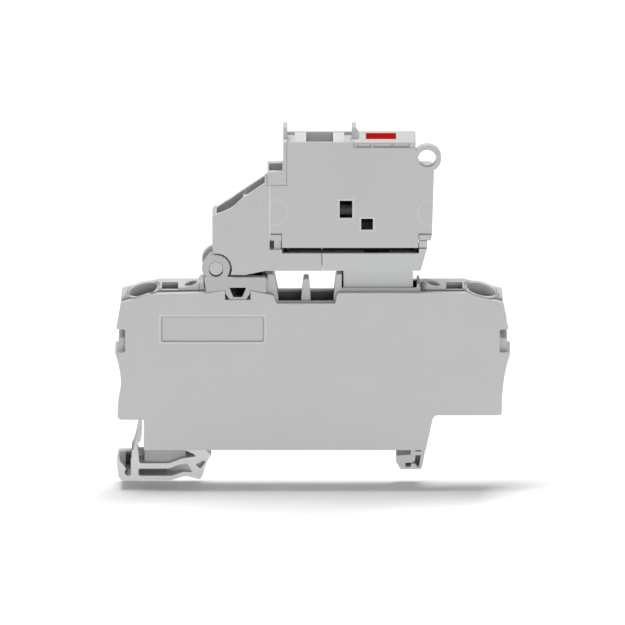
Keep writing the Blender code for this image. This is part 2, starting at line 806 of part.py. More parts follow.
def sheet(name, path, thickness, front, back):
    """A bent strip: a path in X and Z, thickened towards its left, with its width along Y."""
    path = [Vector(point) for point in path]
    ways = [(path[i + 1] - path[i]).normalized() for i in range(len(path) - 1)]
    offset = []
    for index, point in enumerate(path):
        first = ways[max(index - 1, 0)]
        last = ways[min(index, len(ways) - 1)]
        side = Vector((-(first + last).y, (first + last).x)).normalized()
        offset.append(point + side * thickness / side.dot(Vector((-last.y, last.x))))
    return prism(name, path + offset[::-1], front, back)


def current_bar(side):
    """The bar that carries the current from a clamp to its fork, with the jumper's holes."""
    outward = -1 if side == "left" else 1
    clamp_x = ENTRY_MIDDLE_X + outward * CLAMP_OFFSET
    end_x = clamp_x + outward * (CLAMP_POCKET_WIDTH / 2 - 0.6)
    blade_x = BLADE_LEFT_X if side == "left" else BLADE_RIGHT_X
    bottom = BAR_LEVEL
    top = BAR_LEVEL + BAR_THICKNESS
    front = -1.5
    back = 1.5
    inner_x = blade_x - outward * BLADE_WIDTH / 2
    bar = block(f"current_bar_{side}", min(end_x, inner_x), max(end_x, inner_x), front, back, bottom, top)
    if side == "left":
        for well_x in (WELL_LEFT_X, WELL_RIGHT_X):
            cut(bar, block("jumper_hole", well_x - 1.1, well_x + 1.1, -0.5, 0.5, bottom - 1, top + 1))
    return finish(bar, (0.80, 0.72, 0.62), 0.3, 1.0)


def clamp_spring(side):
    """The looped leaf spring that presses the wire against its bar."""
    outward = -1 if side == "left" else 1
    clamp_x = ENTRY_MIDDLE_X + outward * CLAMP_OFFSET
    top = BAR_LEVEL + BAR_THICKNESS + SEAT_GAP
    loop_x = clamp_x - outward * 2.6
    loop_z = CLAMP_POCKET_TOP - 5.4
    loop = arc((loop_x, loop_z), SPRING_LOOP_RADIUS, -30, 135, 9)
    path = [(loop_x - 1.2, top), (loop_x + 1.2, top), *loop, (loop_x - 4.6, top + 0.8)]
    if outward > 0:
        path = [(2 * loop_x - x, z) for x, z in reversed(path)]
    front = -1.6
    spring = sheet(f"clamp_spring_{side}", path, SPRING_THICKNESS, front, -front)
    return finish(spring, (0.62, 0.62, 0.60), 0.25, 1.0)


def fork_contact(side):
    """The two-pronged spring contact that grips a blade of the plug from both faces."""
    blade_x = BLADE_LEFT_X if side == "left" else BLADE_RIGHT_X
    bottom = BAR_LEVEL + BAR_THICKNESS + SEAT_GAP
    half = BLADE_WIDTH / 2 + 0.3
    grip = BLADE_THICKNESS / 2 + SEAT_GAP
    outer = grip + STRIP_THICKNESS
    fork = block(
        f"fork_contact_{side}",
        blade_x - half,
        blade_x + half,
        PLUG_Y - outer,
        PLUG_Y + outer,
        bottom,
        BLADE_BOTTOM + 2.6,
    )
    clear = half + 1
    front = PLUG_Y - grip
    back = PLUG_Y + grip
    cut(fork, block("fork_gap", blade_x - clear, blade_x + clear, front, back, bottom + 1, BEAM_BOTTOM))
    return finish(fork, (0.80, 0.72, 0.62), 0.3, 1.0)


def swing_arc(radius, first_z, last_z, steps=3):
    """Points on a circle about the hinge between two heights, to the right of it."""
    heights = [first_z + (last_z - first_z) * step / steps for step in range(steps + 1)]
    return [(HINGE_X + (radius**2 - (z - HINGE_Z) ** 2) ** 0.5, z) for z in heights]


def pivot_arm():
    """The lever of the fuse holder, with its finger recess, knuckle and trunnions."""
    ring = EAR_RADIUS + 0.35
    profile = outline(
        (BEAM_SEAM_X - SEAT_GAP, BEAM_BOTTOM),
        (BEAM_SEAM_X - SEAT_GAP, BEAM_TOP),
        (CORNER_LEFT, BEAM_TOP),
        (CORNER_LEFT, DRAWER_BOTTOM - 0.35),
        (ARM_RIGHT, DRAWER_BOTTOM - 0.35),
        (ARM_RIGHT, LID_STEP),
        (ARM_TIP, LID_STEP),
        (ARM_TIP, ARM_PEAK, 0.15),
        (-9.7, 46.0, 3.0),
        (-11.3, 44.85, 2.0),
        (-12.9, 43.25, 3.0),
        (-14.6, 42.45, 1.0),
        (ARM_LEFT, ARM_SHOULDER, 0.9),
        (ARM_LEFT, HINGE_Z + ring + 0.8, 0.5),
        *arc((HINGE_X, HINGE_Z), ring, 96, -24, 7),
        (-10.8, 31.35, 1.0),
        (-7.3, BEAM_BOTTOM, 1.0),
    )
    arm = prism("pivot_arm", profile, HOLDER_FRONT, HOLDER_BACK)
    slot = BRACKET_WIDTH / 2 - EAR_THICKNESS - RUNNING_GAP
    neck = [(HINGE_X, HINGE_Z - 0.3), (-11.6, HINGE_Z - 0.3), (-11.6, 36.6), (HINGE_X, 36.6)]
    half = BRACKET_WIDTH / 2
    join(
        arm,
        cone("knuckle", (HINGE_X, -slot, HINGE_Z), (0, 1, 0), 2 * slot, KNUCKLE_RADIUS, sides=28),
        prism("knuckle_neck", neck, -slot, slot),
        cone("trunnions", (HINGE_X, -half, HINGE_Z), (0, 1, 0), 2 * half, TRUNNION_RADIUS),
    )
    cut_finger_recess(arm)
    cut(
        arm,
        strip_channel(CHANNEL_LEFT, BEAM_SEAM_X + 1),
        beam_tongue("tongue_slot", SEAT_GAP),
    )
    hook_front = HOLDER_FRONT + DRAWER_SKIN
    join(arm, block("latch_hook", -5.85, -4.7, hook_front, hook_front + 1.4, BEAM_TOP - 0.5, LATCH_Z))
    return finish(arm, (0.50, 0.50, 0.50), 0.5)


def cut_finger_recess(arm):
    """The recess that a finger or a tool pulls, in two rooms, with its lower rear wall."""
    front = HOLDER_FRONT + ARM_WALL
    back = HOLDER_BACK - ARM_WALL
    finger_room = outline(
        (ARM_LEFT + ARM_WALL, 38.2, 0.8),
        (RECESS_RIB_X, 39.6, 0.8),
        (RECESS_RIB_X, 50.0),
        (ARM_LEFT + ARM_WALL, 50.0),
    )
    right = ARM_TIP - ARM_WALL / 2
    inner_room = outline(
        (RECESS_RIB_X + ARM_WALL, 40.4, 0.6),
        (right, 42.0, 0.6),
        (right, 50.0),
        (RECESS_RIB_X + ARM_WALL, 50.0),
    )
    rear_line = [(ARM_LEFT - 1, 40.35), (ARM_TIP, ARM_REAR_PEAK), (ARM_TIP, 50.0), (ARM_LEFT - 1, 50.0)]
    cut(
        arm,
        prism("finger_room", finger_room, front, back),
        prism("inner_room", inner_room, front, back),
        block("rib_room", RECESS_RIB_X - 0.1, right, front, back, RECESS_RIB_TOP, 50.0),
        prism("rear_shoulder", rear_line, back - 0.1, HOLDER_BACK + 1),
    )


def strip_channel(left, right):
    """The channel in the beam that the contact strips lie in."""
    floor = STRIP_LEVEL - SEAT_GAP
    return block("strip_channel", left, right, -CHANNEL_HALF, CHANNEL_HALF, floor, BEAM_TOP + 2)


def beam_tongue(name, gap):
    """The tongue of the contact base that enters the lever at the seam, or with a gap its slot."""
    side = TONGUE_HALF + gap
    return block(
        name,
        BEAM_SEAM_X - TONGUE_LENGTH - gap,
        BEAM_SEAM_X + 0.5,
        -side,
        side,
        BEAM_BOTTOM + 0.4 - gap,
        STRIP_LEVEL - 0.4 + gap,
    )


def contact_base():
    """The beam under the drawer's right half, with the plug that disconnects the circuit."""
    radius = PLUG_RIGHT - HINGE_X + 0.2
    beam = prism(
        "contact_base",
        outline(
            (BEAM_SEAM_X, BEAM_BOTTOM),
            (BEAM_END_X, BEAM_BOTTOM, 0.2),
            (BEAM_END_X + 1.1, DRAWER_BOTTOM + 0.1),
            (BEAM_END_X + 1.1, LATCH_Z, 0.1),
            (BEAM_END_X - 0.3, LATCH_Z, 0.1),
            (BEAM_END_X - 0.3, BEAM_TOP),
            (BEAM_SEAM_X, BEAM_TOP),
        ),
        HOLDER_FRONT,
        HOLDER_BACK,
    )
    half = PLUG_WIDTH / 2
    plug = prism(
        "plug",
        [
            (PLUG_LEFT, BEAM_BOTTOM + 0.5),
            (PLUG_LEFT, PLUG_BOTTOM + 0.3),
            (PLUG_LEFT + 0.3, PLUG_BOTTOM),
            *swing_arc(radius, PLUG_BOTTOM, HOUSING_TOP),
            (PLUG_RIGHT, BEAM_BOTTOM + 0.5),
        ],
        PLUG_Y - half,
        PLUG_Y + half,
    )
    join(beam, plug, beam_tongue("seam_tongue", 0))
    end = BEAM_END_X - 0.31
    slit = DRAWER_BOTTOM - 0.15
    cut(
        beam,
        strip_channel(BEAM_SEAM_X - 2, end),
        block("latch_slit", end - 1, end + 3, HOLDER_FRONT - 1, HOLDER_FRONT + 1.6, slit, slit + 0.2),
    )
    for side, blade_x in (("left", BLADE_LEFT_X), ("right", BLADE_RIGHT_X)):
        slot = BLADE_WIDTH / 2 + SEAT_GAP
        deep = BLADE_THICKNESS / 2 + SEAT_GAP
        cut(
            beam,
            block(
                f"blade_slot_{side}",
                blade_x - slot,
                blade_x + slot,
                PLUG_Y - deep,
                PLUG_Y + deep,
                PLUG_BOTTOM - 1,
                STRIP_LEVEL + 1,
            ),
        )
    return finish(beam, (0.48, 0.49, 0.50), 0.5)


def blade_contact(side):
    """A blade of the plug, with the strip and the leaf that presses the end of the fuse."""
    outward = -1 if side == "left" else 1
    blade_x = BLADE_LEFT_X if side == "left" else BLADE_RIGHT_X
    fuse_end = FUSE_LEFT if side == "left" else FUSE_RIGHT
    leaf_x = fuse_end + outward * (RUNNING_GAP + STRIP_THICKNESS)
    inner_x = blade_x - outward * BLADE_WIDTH / 2
    path = [
        (inner_x, STRIP_LEVEL),
        (leaf_x + outward * 0.5, STRIP_LEVEL),
        (leaf_x + outward * 0.5, DRAWER_BOTTOM + 1.5),
        (leaf_x, FUSE_Z - 1.2),
        (leaf_x, FUSE_Z + 0.8),
        (leaf_x + outward * 0.5, FUSE_Z + 2.0),
    ]
    if outward < 0:
        path = path[::-1]
    half = STRIP_WIDTH / 2
    contact = sheet(f"blade_contact_{side}", path, STRIP_THICKNESS, -half, half)
    blade = block(
        "blade",
        blade_x - BLADE_WIDTH / 2,
        blade_x + BLADE_WIDTH / 2,
        PLUG_Y - BLADE_THICKNESS / 2,
        PLUG_Y + BLADE_THICKNESS / 2,
        BLADE_BOTTOM,
        STRIP_LEVEL + STRIP_THICKNESS / 2,
    )
    join(contact, blade)
    return finish(contact, (0.80, 0.72, 0.62), 0.3, 1.0)


def cover_outline():
    """The front of the drawer, with a cut corner at each lower end for the latches."""
    return outline(
        (COLUMN_RIGHT, DRAWER_TOP, 0.2),
        (LENS_BLOCK_LEFT, DRAWER_TOP),
        (LENS_BLOCK_LEFT, DRAWER_TOP - LENS_STRIP),
        (LENS_BLOCK_RIGHT, DRAWER_TOP - LENS_STRIP, 0.3),
        (EYE_X - EYE_OUTER * 0.75, EYE_Z),
        (EYE_X + 1.0, EYE_Z - 2.0),
        (DRAWER_RIGHT + 0.3, 49.8),
        (DRAWER_RIGHT, CORNER_LEVEL, 0.2),
        (BEAM_END_X - 0.4, CORNER_LEVEL),
        (BEAM_END_X - 0.4, DRAWER_BOTTOM),
        (CORNER_LEFT, DRAWER_BOTTOM),
        (CORNER_LEFT, CORNER_LEVEL),
        (ARM_RIGHT + SEAT_GAP, CORNER_LEVEL),
        (ARM_RIGHT + SEAT_GAP, LID_STEP),
        (COLUMN_RIGHT, LID_STEP),
    )


def drawer_cover():
    """The front panel of the drawer, in one piece with the eye that pulls it."""
    cover = prism("drawer_cover", cover_outline(), HOLDER_FRONT, COVER_BACK)
    eye_back = HOLDER_FRONT + EYE_THICKNESS
    join(cover, cone("eye", (EYE_X, HOLDER_FRONT, EYE_Z), (0, 1, 0), EYE_THICKNESS, EYE_OUTER, sides=32))
    before = HOLDER_FRONT - 1
    cut(
        cover,
        cone("eye_hole", (EYE_X, before, EYE_Z), (0, 1, 0), EYE_THICKNESS + 2, EYE_INNER, sides=28),
        block("window_tall", 5.25, 7.4, before, eye_back, 41.5, 44.6),
        block("window_small", 8.9, 10.9, before, eye_back, 39.4, 41.4),
    )
    return finish(cover, (0.50, 0.50, 0.50), 0.5)


def shell_outline():
    """The drawer's shell behind its front: block pocket, column, marker slot and lens block."""
    corner = LATCH_Z + RUNNING_GAP
    shelf = EYE_Z - EYE_OUTER - 0.1
    return outline(
        (POCKET_LEFT, LID_STEP + SEAT_GAP),
        (ARM_RIGHT + SEAT_GAP, LID_STEP + SEAT_GAP),
        (ARM_RIGHT + SEAT_GAP, corner),
        (CORNER_LEFT - 0.1, corner),
        (CORNER_LEFT - 0.1, DRAWER_BOTTOM),
        (BEAM_END_X - 0.4, DRAWER_BOTTOM),
        (BEAM_END_X - 0.4, corner),
        (DRAWER_RIGHT - 0.2, corner),
        (DRAWER_RIGHT, CORNER_LEVEL),
        (DRAWER_RIGHT, shelf, 0.3),
        (LENS_BLOCK_RIGHT - 0.5, shelf),
        (LENS_BLOCK_RIGHT - 0.5, DRAWER_TOP - 1.5),
        (LENS_BLOCK_RIGHT, DRAWER_TOP - 1.2),
        (LENS_BLOCK_RIGHT, DRAWER_TOP, 0.3),
        (COLUMN_LEFT, DRAWER_TOP),
        (COLUMN_LEFT, POCKET_TOP),
        (POCKET_LEFT, POCKET_TOP, 0.2),
    )


def shell_fronts():
    """The parts of the shell that come forward to the front plane beside the cover."""
    pocket = outline(
        (POCKET_LEFT, LID_STEP + SEAT_GAP),
        (COLUMN_RIGHT - SEAT_GAP, LID_STEP + SEAT_GAP),
        (COLUMN_RIGHT - SEAT_GAP, DRAWER_TOP),
        (COLUMN_LEFT, DRAWER_TOP),
        (COLUMN_LEFT, POCKET_TOP),
        (POCKET_LEFT, POCKET_TOP, 0.2),
    )
    strip_left = LENS_BLOCK_LEFT + 0.15
    strip_bottom = DRAWER_TOP - LENS_STRIP + SEAT_GAP
    strip = outline(
        (strip_left, strip_bottom),
        (LENS_BLOCK_RIGHT, strip_bottom),
        (LENS_BLOCK_RIGHT, DRAWER_TOP, 0.3),
        (strip_left, DRAWER_TOP),
    )
    bottom = LATCH_Z + RUNNING_GAP
    top = CORNER_LEVEL - CORNER_GAP
    side = ARM_RIGHT + SEAT_GAP
    end = CORNER_LEFT - 0.1
    left_corner = [(side, bottom), (end, bottom), (end, top), (side, top)]
    start = BEAM_END_X - 0.3
    right_corner = [(start, bottom), (DRAWER_RIGHT - 0.2, bottom), (DRAWER_RIGHT, top), (start, top)]
    return pocket, strip, left_corner, right_corner


def drawer_shell():
    """The drawer's moulded shell: chambers for the fuse and the indicator, and the marker slot."""
    front = COVER_BACK + SEAT_GAP
    shell = prism("drawer_shell", shell_outline(), front, HOLDER_BACK)
    for index, points in enumerate(shell_fronts()):
        join(shell, prism(f"shell_front_{index}", points, HOLDER_FRONT, front + 0.5))
    add_tabs(shell)
    cut_chambers(shell)
    add_marker_seat(shell)
    cut_strip_panels(shell)
    return finish(shell, (0.50, 0.50, 0.50), 0.5)


def cut_strip_panels(shell):
    """The three shallow panels in the front strip of the lens block."""
    for index, (left, right) in enumerate(((8.15, 10.6), (11.05, 14.1), (14.3, 17.0))):
        panel = block(
            f"strip_panel_{index}",
            left,
            right,
            HOLDER_FRONT - 1,
            HOLDER_FRONT + PANEL_DEPTH,
            DRAWER_TOP - 0.84,
            DRAWER_TOP - 0.25,
        )
        cut(shell, panel)


def add_marker_seat(shell):
    """The two ramps that hold a marker in its slot, and the ledge beside each."""
    back = MARKER_BACK + 0.1
    floor = MARKER_FLOOR - 0.2
    ramp = [(-1.6, floor), (back, floor), (back, DRAWER_TOP - 0.05), (back - 0.5, DRAWER_TOP - 0.05)]
    ledge_top = DRAWER_TOP - 0.55
    for name, outer, inner, wall in (("left", -2.35, -0.4, -3.7), ("right", 6.05, 4.15, 7.4)):
        join(
            shell,
            ridge(f"marker_ramp_{name}", ramp, min(outer, inner), max(outer, inner)),
            block(f"marker_ledge_{name}", min(outer, wall), max(outer, wall), -1.6, back, floor, ledge_top),
        )


def add_tabs(shell):
    """The two round-topped tabs at the ends of the marker slot."""
    for name, left in (("left", COLUMN_LEFT), ("right", RIGHT_TAB_LEFT)):
        tab = prism(
            f"tab_{name}",
            outline(
                (left, DRAWER_TOP - 0.5),
                (left, TAB_TOP, 0.34),
                (left + TAB_WIDTH, TAB_TOP, 0.34),
                (left + TAB_WIDTH, DRAWER_TOP - 0.5),
            ),
            TAB_FRONT,
            TAB_BACK,
        )
        join(shell, tab)
    root = RIGHT_TAB_LEFT + TAB_WIDTH
    base = DRAWER_TOP - 0.05
    fillet = [*bow((root - 0.1, DRAWER_TOP + 1.1), (root + 0.5, base), 0.2), (root - 0.1, base)]
    join(shell, prism("tab_root", fillet, TAB_FRONT, TAB_BACK))


def cut_chambers(shell):
    front = COVER_BACK - 1
    back = HOLDER_BACK - DRAWER_SKIN
    left = ARM_RIGHT + SEAT_GAP + DRAWER_WALL
    right = DRAWER_RIGHT - DRAWER_WALL
    lid = LID_LEVEL - 0.7
    fuse_room = outline(
        (left, CORNER_LEVEL + 0.3),
        (-3.95, CORNER_LEVEL + 0.3),
        (-3.95, DRAWER_BOTTOM - 1),
        (BEAM_END_X - 0.5, DRAWER_BOTTOM - 1),
        (BEAM_END_X - 0.5, CORNER_LEVEL + 0.3),
        (right, CORNER_LEVEL + 0.3),
        (right, lid, 0.3),
        (left, lid, 0.3),
    )
    strip = DRAWER_TOP - LENS_STRIP
    core_right = LAMP_ROOM_LEFT - DRAWER_WALL
    slot_left = COLUMN_LEFT + TAB_WIDTH
    pocket_left = POCKET_LEFT + 0.27
    pocket_right = COLUMN_LEFT - 0.15
    cut(
        shell,
        prism("fuse_room", fuse_room, front, back),
        block("lamp_room", LAMP_ROOM_LEFT, LAMP_ROOM_RIGHT, front, back, LID_LEVEL, strip - 0.4),
        block("lens_seat", LENS_LEFT, LENS_RIGHT, LENS_FRONT, LENS_BACK, strip - 1, DRAWER_TOP + 1),
        block("shell_core", COLUMN_RIGHT + 0.5, core_right, front, back, LID_LEVEL, MARKER_FLOOR - 0.8),
        block("marker_slot", slot_left, RIGHT_TAB_LEFT, front, MARKER_BACK, MARKER_FLOOR, TAB_TOP + 1),
        block("block_pocket", pocket_left, pocket_right, -2.1, 1.8, LID_LEVEL + 0.7, DRAWER_TOP),
    )
    rib_front = COVER_BACK + SEAT_GAP + 0.02
    low = FUSE_Z - glass_radius()
    high = FUSE_Z + glass_radius()
    for rib_x in (FUSE_X - CRADLE_OFFSET, FUSE_X + CRADLE_OFFSET):
        rib = block("cradle", rib_x - 0.4, rib_x + 0.4, rib_front, back + 0.2, low - 1.1, high + 0.25)
        join(shell, rib)
        cut(
            shell,
            cone("glass_seat", (rib_x - 1, 0, FUSE_Z), (1, 0, 0), 2, glass_radius() + SEAT_GAP),
            block("glass_entry", rib_x - 1, rib_x + 1, front, 0, low, high),
        )
    for slot_x in (LEAD_LEFT, LEAD_RIGHT):
        cut(shell, block("lead_slot", slot_x - 0.4, slot_x + 0.4, front, 1.5, lid - 0.5, LID_LEVEL + 0.5))


def glass_radius():
    return CAP_RADIUS - CAP_WALL - SEAT_GAP


def fuse_parts():
    """The glass tube, its two caps and the wire between them."""
    start = (FUSE_LEFT + CAP_WALL + SEAT_GAP, 0, FUSE_Z)
    length = FUSE_LENGTH - 2 * (CAP_WALL + SEAT_GAP)
    glass = cone("fuse_glass", start, (1, 0, 0), length, glass_radius())
    before = (FUSE_LEFT - 1, 0, FUSE_Z)
    cut(glass, cone("glass_bore", before, (1, 0, 0), FUSE_LENGTH + 2, glass_radius() - GLASS_WALL))
    finish(glass, (0.85, 0.9, 0.88), 0.05, alpha=0.35)
    parts = [glass]
    for side, outer, inward in (("left", FUSE_LEFT, 1), ("right", FUSE_RIGHT, -1)):
        cap = cone(f"fuse_cap_{side}", (outer, 0, FUSE_Z), (inward, 0, 0), CAP_LENGTH, CAP_RADIUS)
        floor = (outer + inward * CAP_WALL, 0, FUSE_Z)
        cut(cap, cone("cap_bore", floor, (inward, 0, 0), CAP_LENGTH, CAP_RADIUS - CAP_WALL))
        parts.append(finish(cap, (0.75, 0.74, 0.70), 0.2, 1.0))
    wire = cone("fuse_wire", start, (1, 0, 0), length, FUSE_WIRE_RADIUS, sides=8)
    parts.append(finish(wire, (0.7, 0.6, 0.45), 0.3, 1.0))
    return parts


def indicator_parts():
    """The lens, the lamp, the board, the resistor and the two spring leads to the caps."""
    lens = block(
        "indicator_lens",
        LENS_LEFT + SEAT_GAP,
        LENS_RIGHT - SEAT_GAP,
        LENS_FRONT + SEAT_GAP,
        LENS_BACK - SEAT_GAP,
        DRAWER_TOP - LENS_STRIP - 0.3,
        DRAWER_TOP,
    )
    parts = [finish(lens, (0.75, 0.01, 0.01), 0.15)]
    left = LAMP_ROOM_LEFT + SEAT_GAP
    right = LAMP_ROOM_RIGHT - SEAT_GAP
    front = BOARD_FRONT
    top = BOARD_TOP
    board = block("indicator_board", left, right, front, front + 0.8, LID_LEVEL + SEAT_GAP, top)
    parts.append(finish(board, (0.05, 0.25, 0.10), 0.5))
    lamp_x = (LENS_LEFT + LENS_RIGHT) / 2
    face = front - SEAT_GAP
    lamp = block("indicator_lamp", lamp_x - 0.8, lamp_x + 0.8, front - 1.3, face, top - 1.4, top)
    parts.append(finish(lamp, (0.9, 0.85, 0.8), 0.3))
    resistor_end = (lamp_x - 1.6, face - 0.75, LEAD_TOP - 0.7)
    resistor = cone("series_resistor", resistor_end, (1, 0, 0), 3.2, 0.75, sides=16)
    parts.append(finish(resistor, (0.70, 0.60, 0.42), 0.5))
    for side, x in (("left", LEAD_LEFT), ("right", LEAD_RIGHT)):
        cap_top = FUSE_Z + CAP_RADIUS + SEAT_GAP
        foot_x = FUSE_LEFT + CAP_LENGTH - 1 if side == "left" else x
        path = [(x, cap_top), (x, LEAD_TOP)]
        if side == "left":
            path = [(foot_x, cap_top), (x, cap_top + 0.35), (x, LEAD_TOP)]
        lead = sheet(f"indicator_lead_{side}", path, 0.25, 0.2, face)
        parts.append(finish(lead, (0.80, 0.78, 0.72), 0.3, 1.0))
    return parts


def pivot_empty(name, place):
    """An empty on a joint, which carries the pieces that move with it."""
    empty = bpy.data.objects.new(name, None)
    empty.location = Vector(place) * MM
    bpy.context.scene.collection.objects.link(empty)
    return empty


def carry(carrier, pieces):
    """Parent pieces, with their helpers, to a carrier and leave them where they are."""
    bpy.context.view_layer.update()
    for piece in pieces:
        helpers = [modifier.object for modifier in piece.modifiers if modifier.type == "BOOLEAN"]
        for item in [piece] + helpers:
            item.parent = carrier
            item.matrix_parent_inverse = carrier.matrix_world.inverted()


def main():
    for obj in list(bpy.data.objects):
        bpy.data.objects.remove(obj)
    base_housing()
    end_plate()
    hinge_bracket()
    for side in ("left", "right"):
        current_bar(side)
        clamp_spring(side)
        fork_contact(side)
    hinge = pivot_empty("fuse_holder_pivot", (HINGE_X, 0, HINGE_Z))
    carry(hinge, [pivot_arm(), contact_base(), blade_contact("left"), blade_contact("right")])
    slide = pivot_empty("drawer_slide", (FUSE_X, 0, DRAWER_BOTTOM))
    carry(slide, [drawer_shell(), drawer_cover(), *fuse_parts(), *indicator_parts()])
    slide.parent = hinge
    slide.matrix_parent_inverse = hinge.matrix_world.inverted()


main()
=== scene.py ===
import json
from math import cos, radians, sin

import bpy
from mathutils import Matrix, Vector


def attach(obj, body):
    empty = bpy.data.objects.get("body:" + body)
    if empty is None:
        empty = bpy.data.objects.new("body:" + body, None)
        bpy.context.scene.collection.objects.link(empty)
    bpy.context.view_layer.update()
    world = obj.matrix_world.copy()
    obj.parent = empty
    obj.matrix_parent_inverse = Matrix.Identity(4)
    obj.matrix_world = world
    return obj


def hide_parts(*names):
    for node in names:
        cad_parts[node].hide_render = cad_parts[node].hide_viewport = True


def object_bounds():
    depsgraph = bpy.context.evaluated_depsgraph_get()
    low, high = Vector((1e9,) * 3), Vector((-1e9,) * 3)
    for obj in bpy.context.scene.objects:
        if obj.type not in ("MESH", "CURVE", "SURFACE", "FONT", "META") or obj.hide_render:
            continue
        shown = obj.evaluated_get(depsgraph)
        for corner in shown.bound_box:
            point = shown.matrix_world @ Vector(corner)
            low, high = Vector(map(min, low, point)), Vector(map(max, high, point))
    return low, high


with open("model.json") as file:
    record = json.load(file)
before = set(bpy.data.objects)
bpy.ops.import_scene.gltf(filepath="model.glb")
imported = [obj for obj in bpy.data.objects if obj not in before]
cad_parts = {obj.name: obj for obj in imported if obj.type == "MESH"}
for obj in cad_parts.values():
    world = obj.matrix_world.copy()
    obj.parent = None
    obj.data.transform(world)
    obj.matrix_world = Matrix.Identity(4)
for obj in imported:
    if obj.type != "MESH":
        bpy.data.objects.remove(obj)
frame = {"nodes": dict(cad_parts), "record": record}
cad_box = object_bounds()

bl_info = {
    "name": "Fuse terminal block dressing",
    "version": (1, 0, 0),
    "blender": (4, 5, 0),
    "location": "View3D > Sidebar > Terminal block",
    "description": "Finishes the mouldings, contacts and fuse of a fuse terminal block",
    "category": "Object",
}

MM = 0.001


def grey(level):
    return (level, level, level)


# Places and lengths are in millimetres from here to the studio's values.
# A leaning wire entry and a leaning test hole stand at each end, at equal reach from the middle.
MIDDLE_X = 0.6
BORE_Y = -0.35

ENTRY_REACH = 28.7
ENTRY_TOP = 28.25
ENTRY_LEAN = radians(14)
ENTRY_TILT = radians(7)
ENTRY_SINK = 0.26
ENTRY_RADIUS = 2.6
ENTRY_SQUEEZE = 0.88
ENTRY_SHIFT = -0.2
ENTRY_OVERRUN = 1.0
TRIM_HEIGHT = 2.0
COLLAR_RADIUS = 3.0
COLLAR_HEIGHT = 2.4
COLLAR_INSET = 0.05
COLLAR_ROUND = 0.08
FRONT_CUTTER_SIZE = 30.0

TEST_REACH = 20.5
TEST_TOP = 29.0
TEST_LEAN = radians(15)
TEST_RADIUS = 1.14
TEST_DEPTH = 8.0
# Painted shade down each test hole: how far it fades out below the mouth, and its grey.
TEST_SHADE_FADE = 0.6
TEST_HOLE_SHADE = (0.40, 0.40, 0.398)

# How a mould's rounds are made.
ROUND_SEGMENTS = 2
ROUND_ANGLE = radians(28)
SMOOTH_ANGLE = radians(38)
FLAT_ANGLE = radians(1)
FLAT_WEIGHT = 100
DRUM_SIDES = 96

# Soft edges of the colour masks.
EDGE = 0.02
END_EDGE = 0.1
DEPTH_EDGE = 0.05

# Boxes whose inside takes a painted shade or painted light: low corner, high corner, fade below
# the top, colour.
# Painted shade in the two wells, the tool slots, the plug's pocket and the bracket's seat, fading
# out towards their tops.
HOUSING_PAINTED_SHADE = (
    ((-5.18, -1.62, 17.0), (-1.22, 2.43, 26.95), 0.5, grey(0.1)),
    ((0.32, -1.62, 17.0), (4.28, 2.43, 26.95), 0.5, grey(0.1)),
    ((-24.9, -1.18, 21.0), (-22.1, 1.17, 28.6), 0.8, grey(0.26)),
    ((23.3, -1.18, 21.0), (26.1, 1.17, 28.6), 0.8, grey(0.27)),
    ((5.58, -1.7, 10.0), (18.3, 2.3, 28.65), 0.2, grey(0.01)),
    ((-14.2, -2.1, 12.0), (-9.8, 2.5, 26.8), 0.1, grey(0.02)),
)
# Painted light on two front faces of the snap foot, then painted shade in two of its rooms.
FOOT_PAINTED_LIGHT_AND_SHADE = (
    ((-33.0, -2.3, -6.0), (-16.4, -1.98, -0.3), 0.1, grey(0.66)),
    ((-33.0, -2.3, -0.4), (-28.2, -1.98, 5.3), 0.1, grey(0.60)),
    ((-31.1, -1.9, -5.0), (-30.15, 1.6, -1.2), 1.1, grey(0.03)),
    ((-29.0, -1.9, -5.0), (-24.2, 1.6, -3.6), 0.4, grey(0.04)),
)
# Painted shade in two hollows of the bracket.
BRACKET_PAINTED_SHADE = (
    ((-13.6, -2.9, 27.0), (-10.4, 1.95, 29.0), 0.1, grey(0.11)),
    ((-12.25, -1.95, 27.0), (-7.1, 2.0, 31.0), 0.05, grey(0.02)),
)
# Painted shade in two hollows of the lever, and darker painted shade in its slot along the beam.
LEVER_PAINTED_SHADE = (
    ((-15.6, -2.4, 37.0), (-11.05, 2.4, 48.5), 0.3, (0.47, 0.47, 0.467)),
    ((-10.4, -2.4, 37.0), (-7.3, 2.4, 48.5), 0.3, (0.47, 0.47, 0.467)),
    ((-4.3, -2.5, 33.0), (2.4, 2.5, 35.25), 0.2, grey(0.03)),
)
# Painted shade in the plug's slot along the beam, and a painted shadow line under the beam.
PLUG_PAINTED_SHADE = (
    ((2.2, -2.5, 33.0), (19.0, 2.5, 35.25), 0.2, grey(0.03)),
    ((5.8, -1.7, 31.8), (17.8, 2.3, 32.15), EDGE, grey(0.3)),
)
# Painted shade inside the drawer's fuse room, seen through its windows.
DRAWER_PAINTED_SHADE = (((-5.9, -2.0, 37.4), (20.25, 2.75, 45.55), EDGE, (0.05, 0.045, 0.04)),)
# Painted shade on the contact strips where they lie in the dark slot.
STRIP_PAINTED_SHADE = (((-9.0, -2.2, 30.0), (24.0, -0.8, 37.5), EDGE, (0.04, 0.03, 0.02)),)

# Painted shadow lines in the gaps where the housing meets its end plate: start and end in X and
# Z, grey.
PLATE_SHADOW_LINES = (
    ((-26.9, 28.05), (-17.6, 28.2), 0.2),
    ((-31.9, 26.4), (-27.0, 28.0), 0.32),
    ((18.9, 28.2), (26.6, 28.2), 0.2),
    ((26.6, 28.2), (33.1, 26.4), 0.32),
)
PLATE_SHADOW_WIDTH = 0.3
PLATE_SHADOW_FACE = -1.6

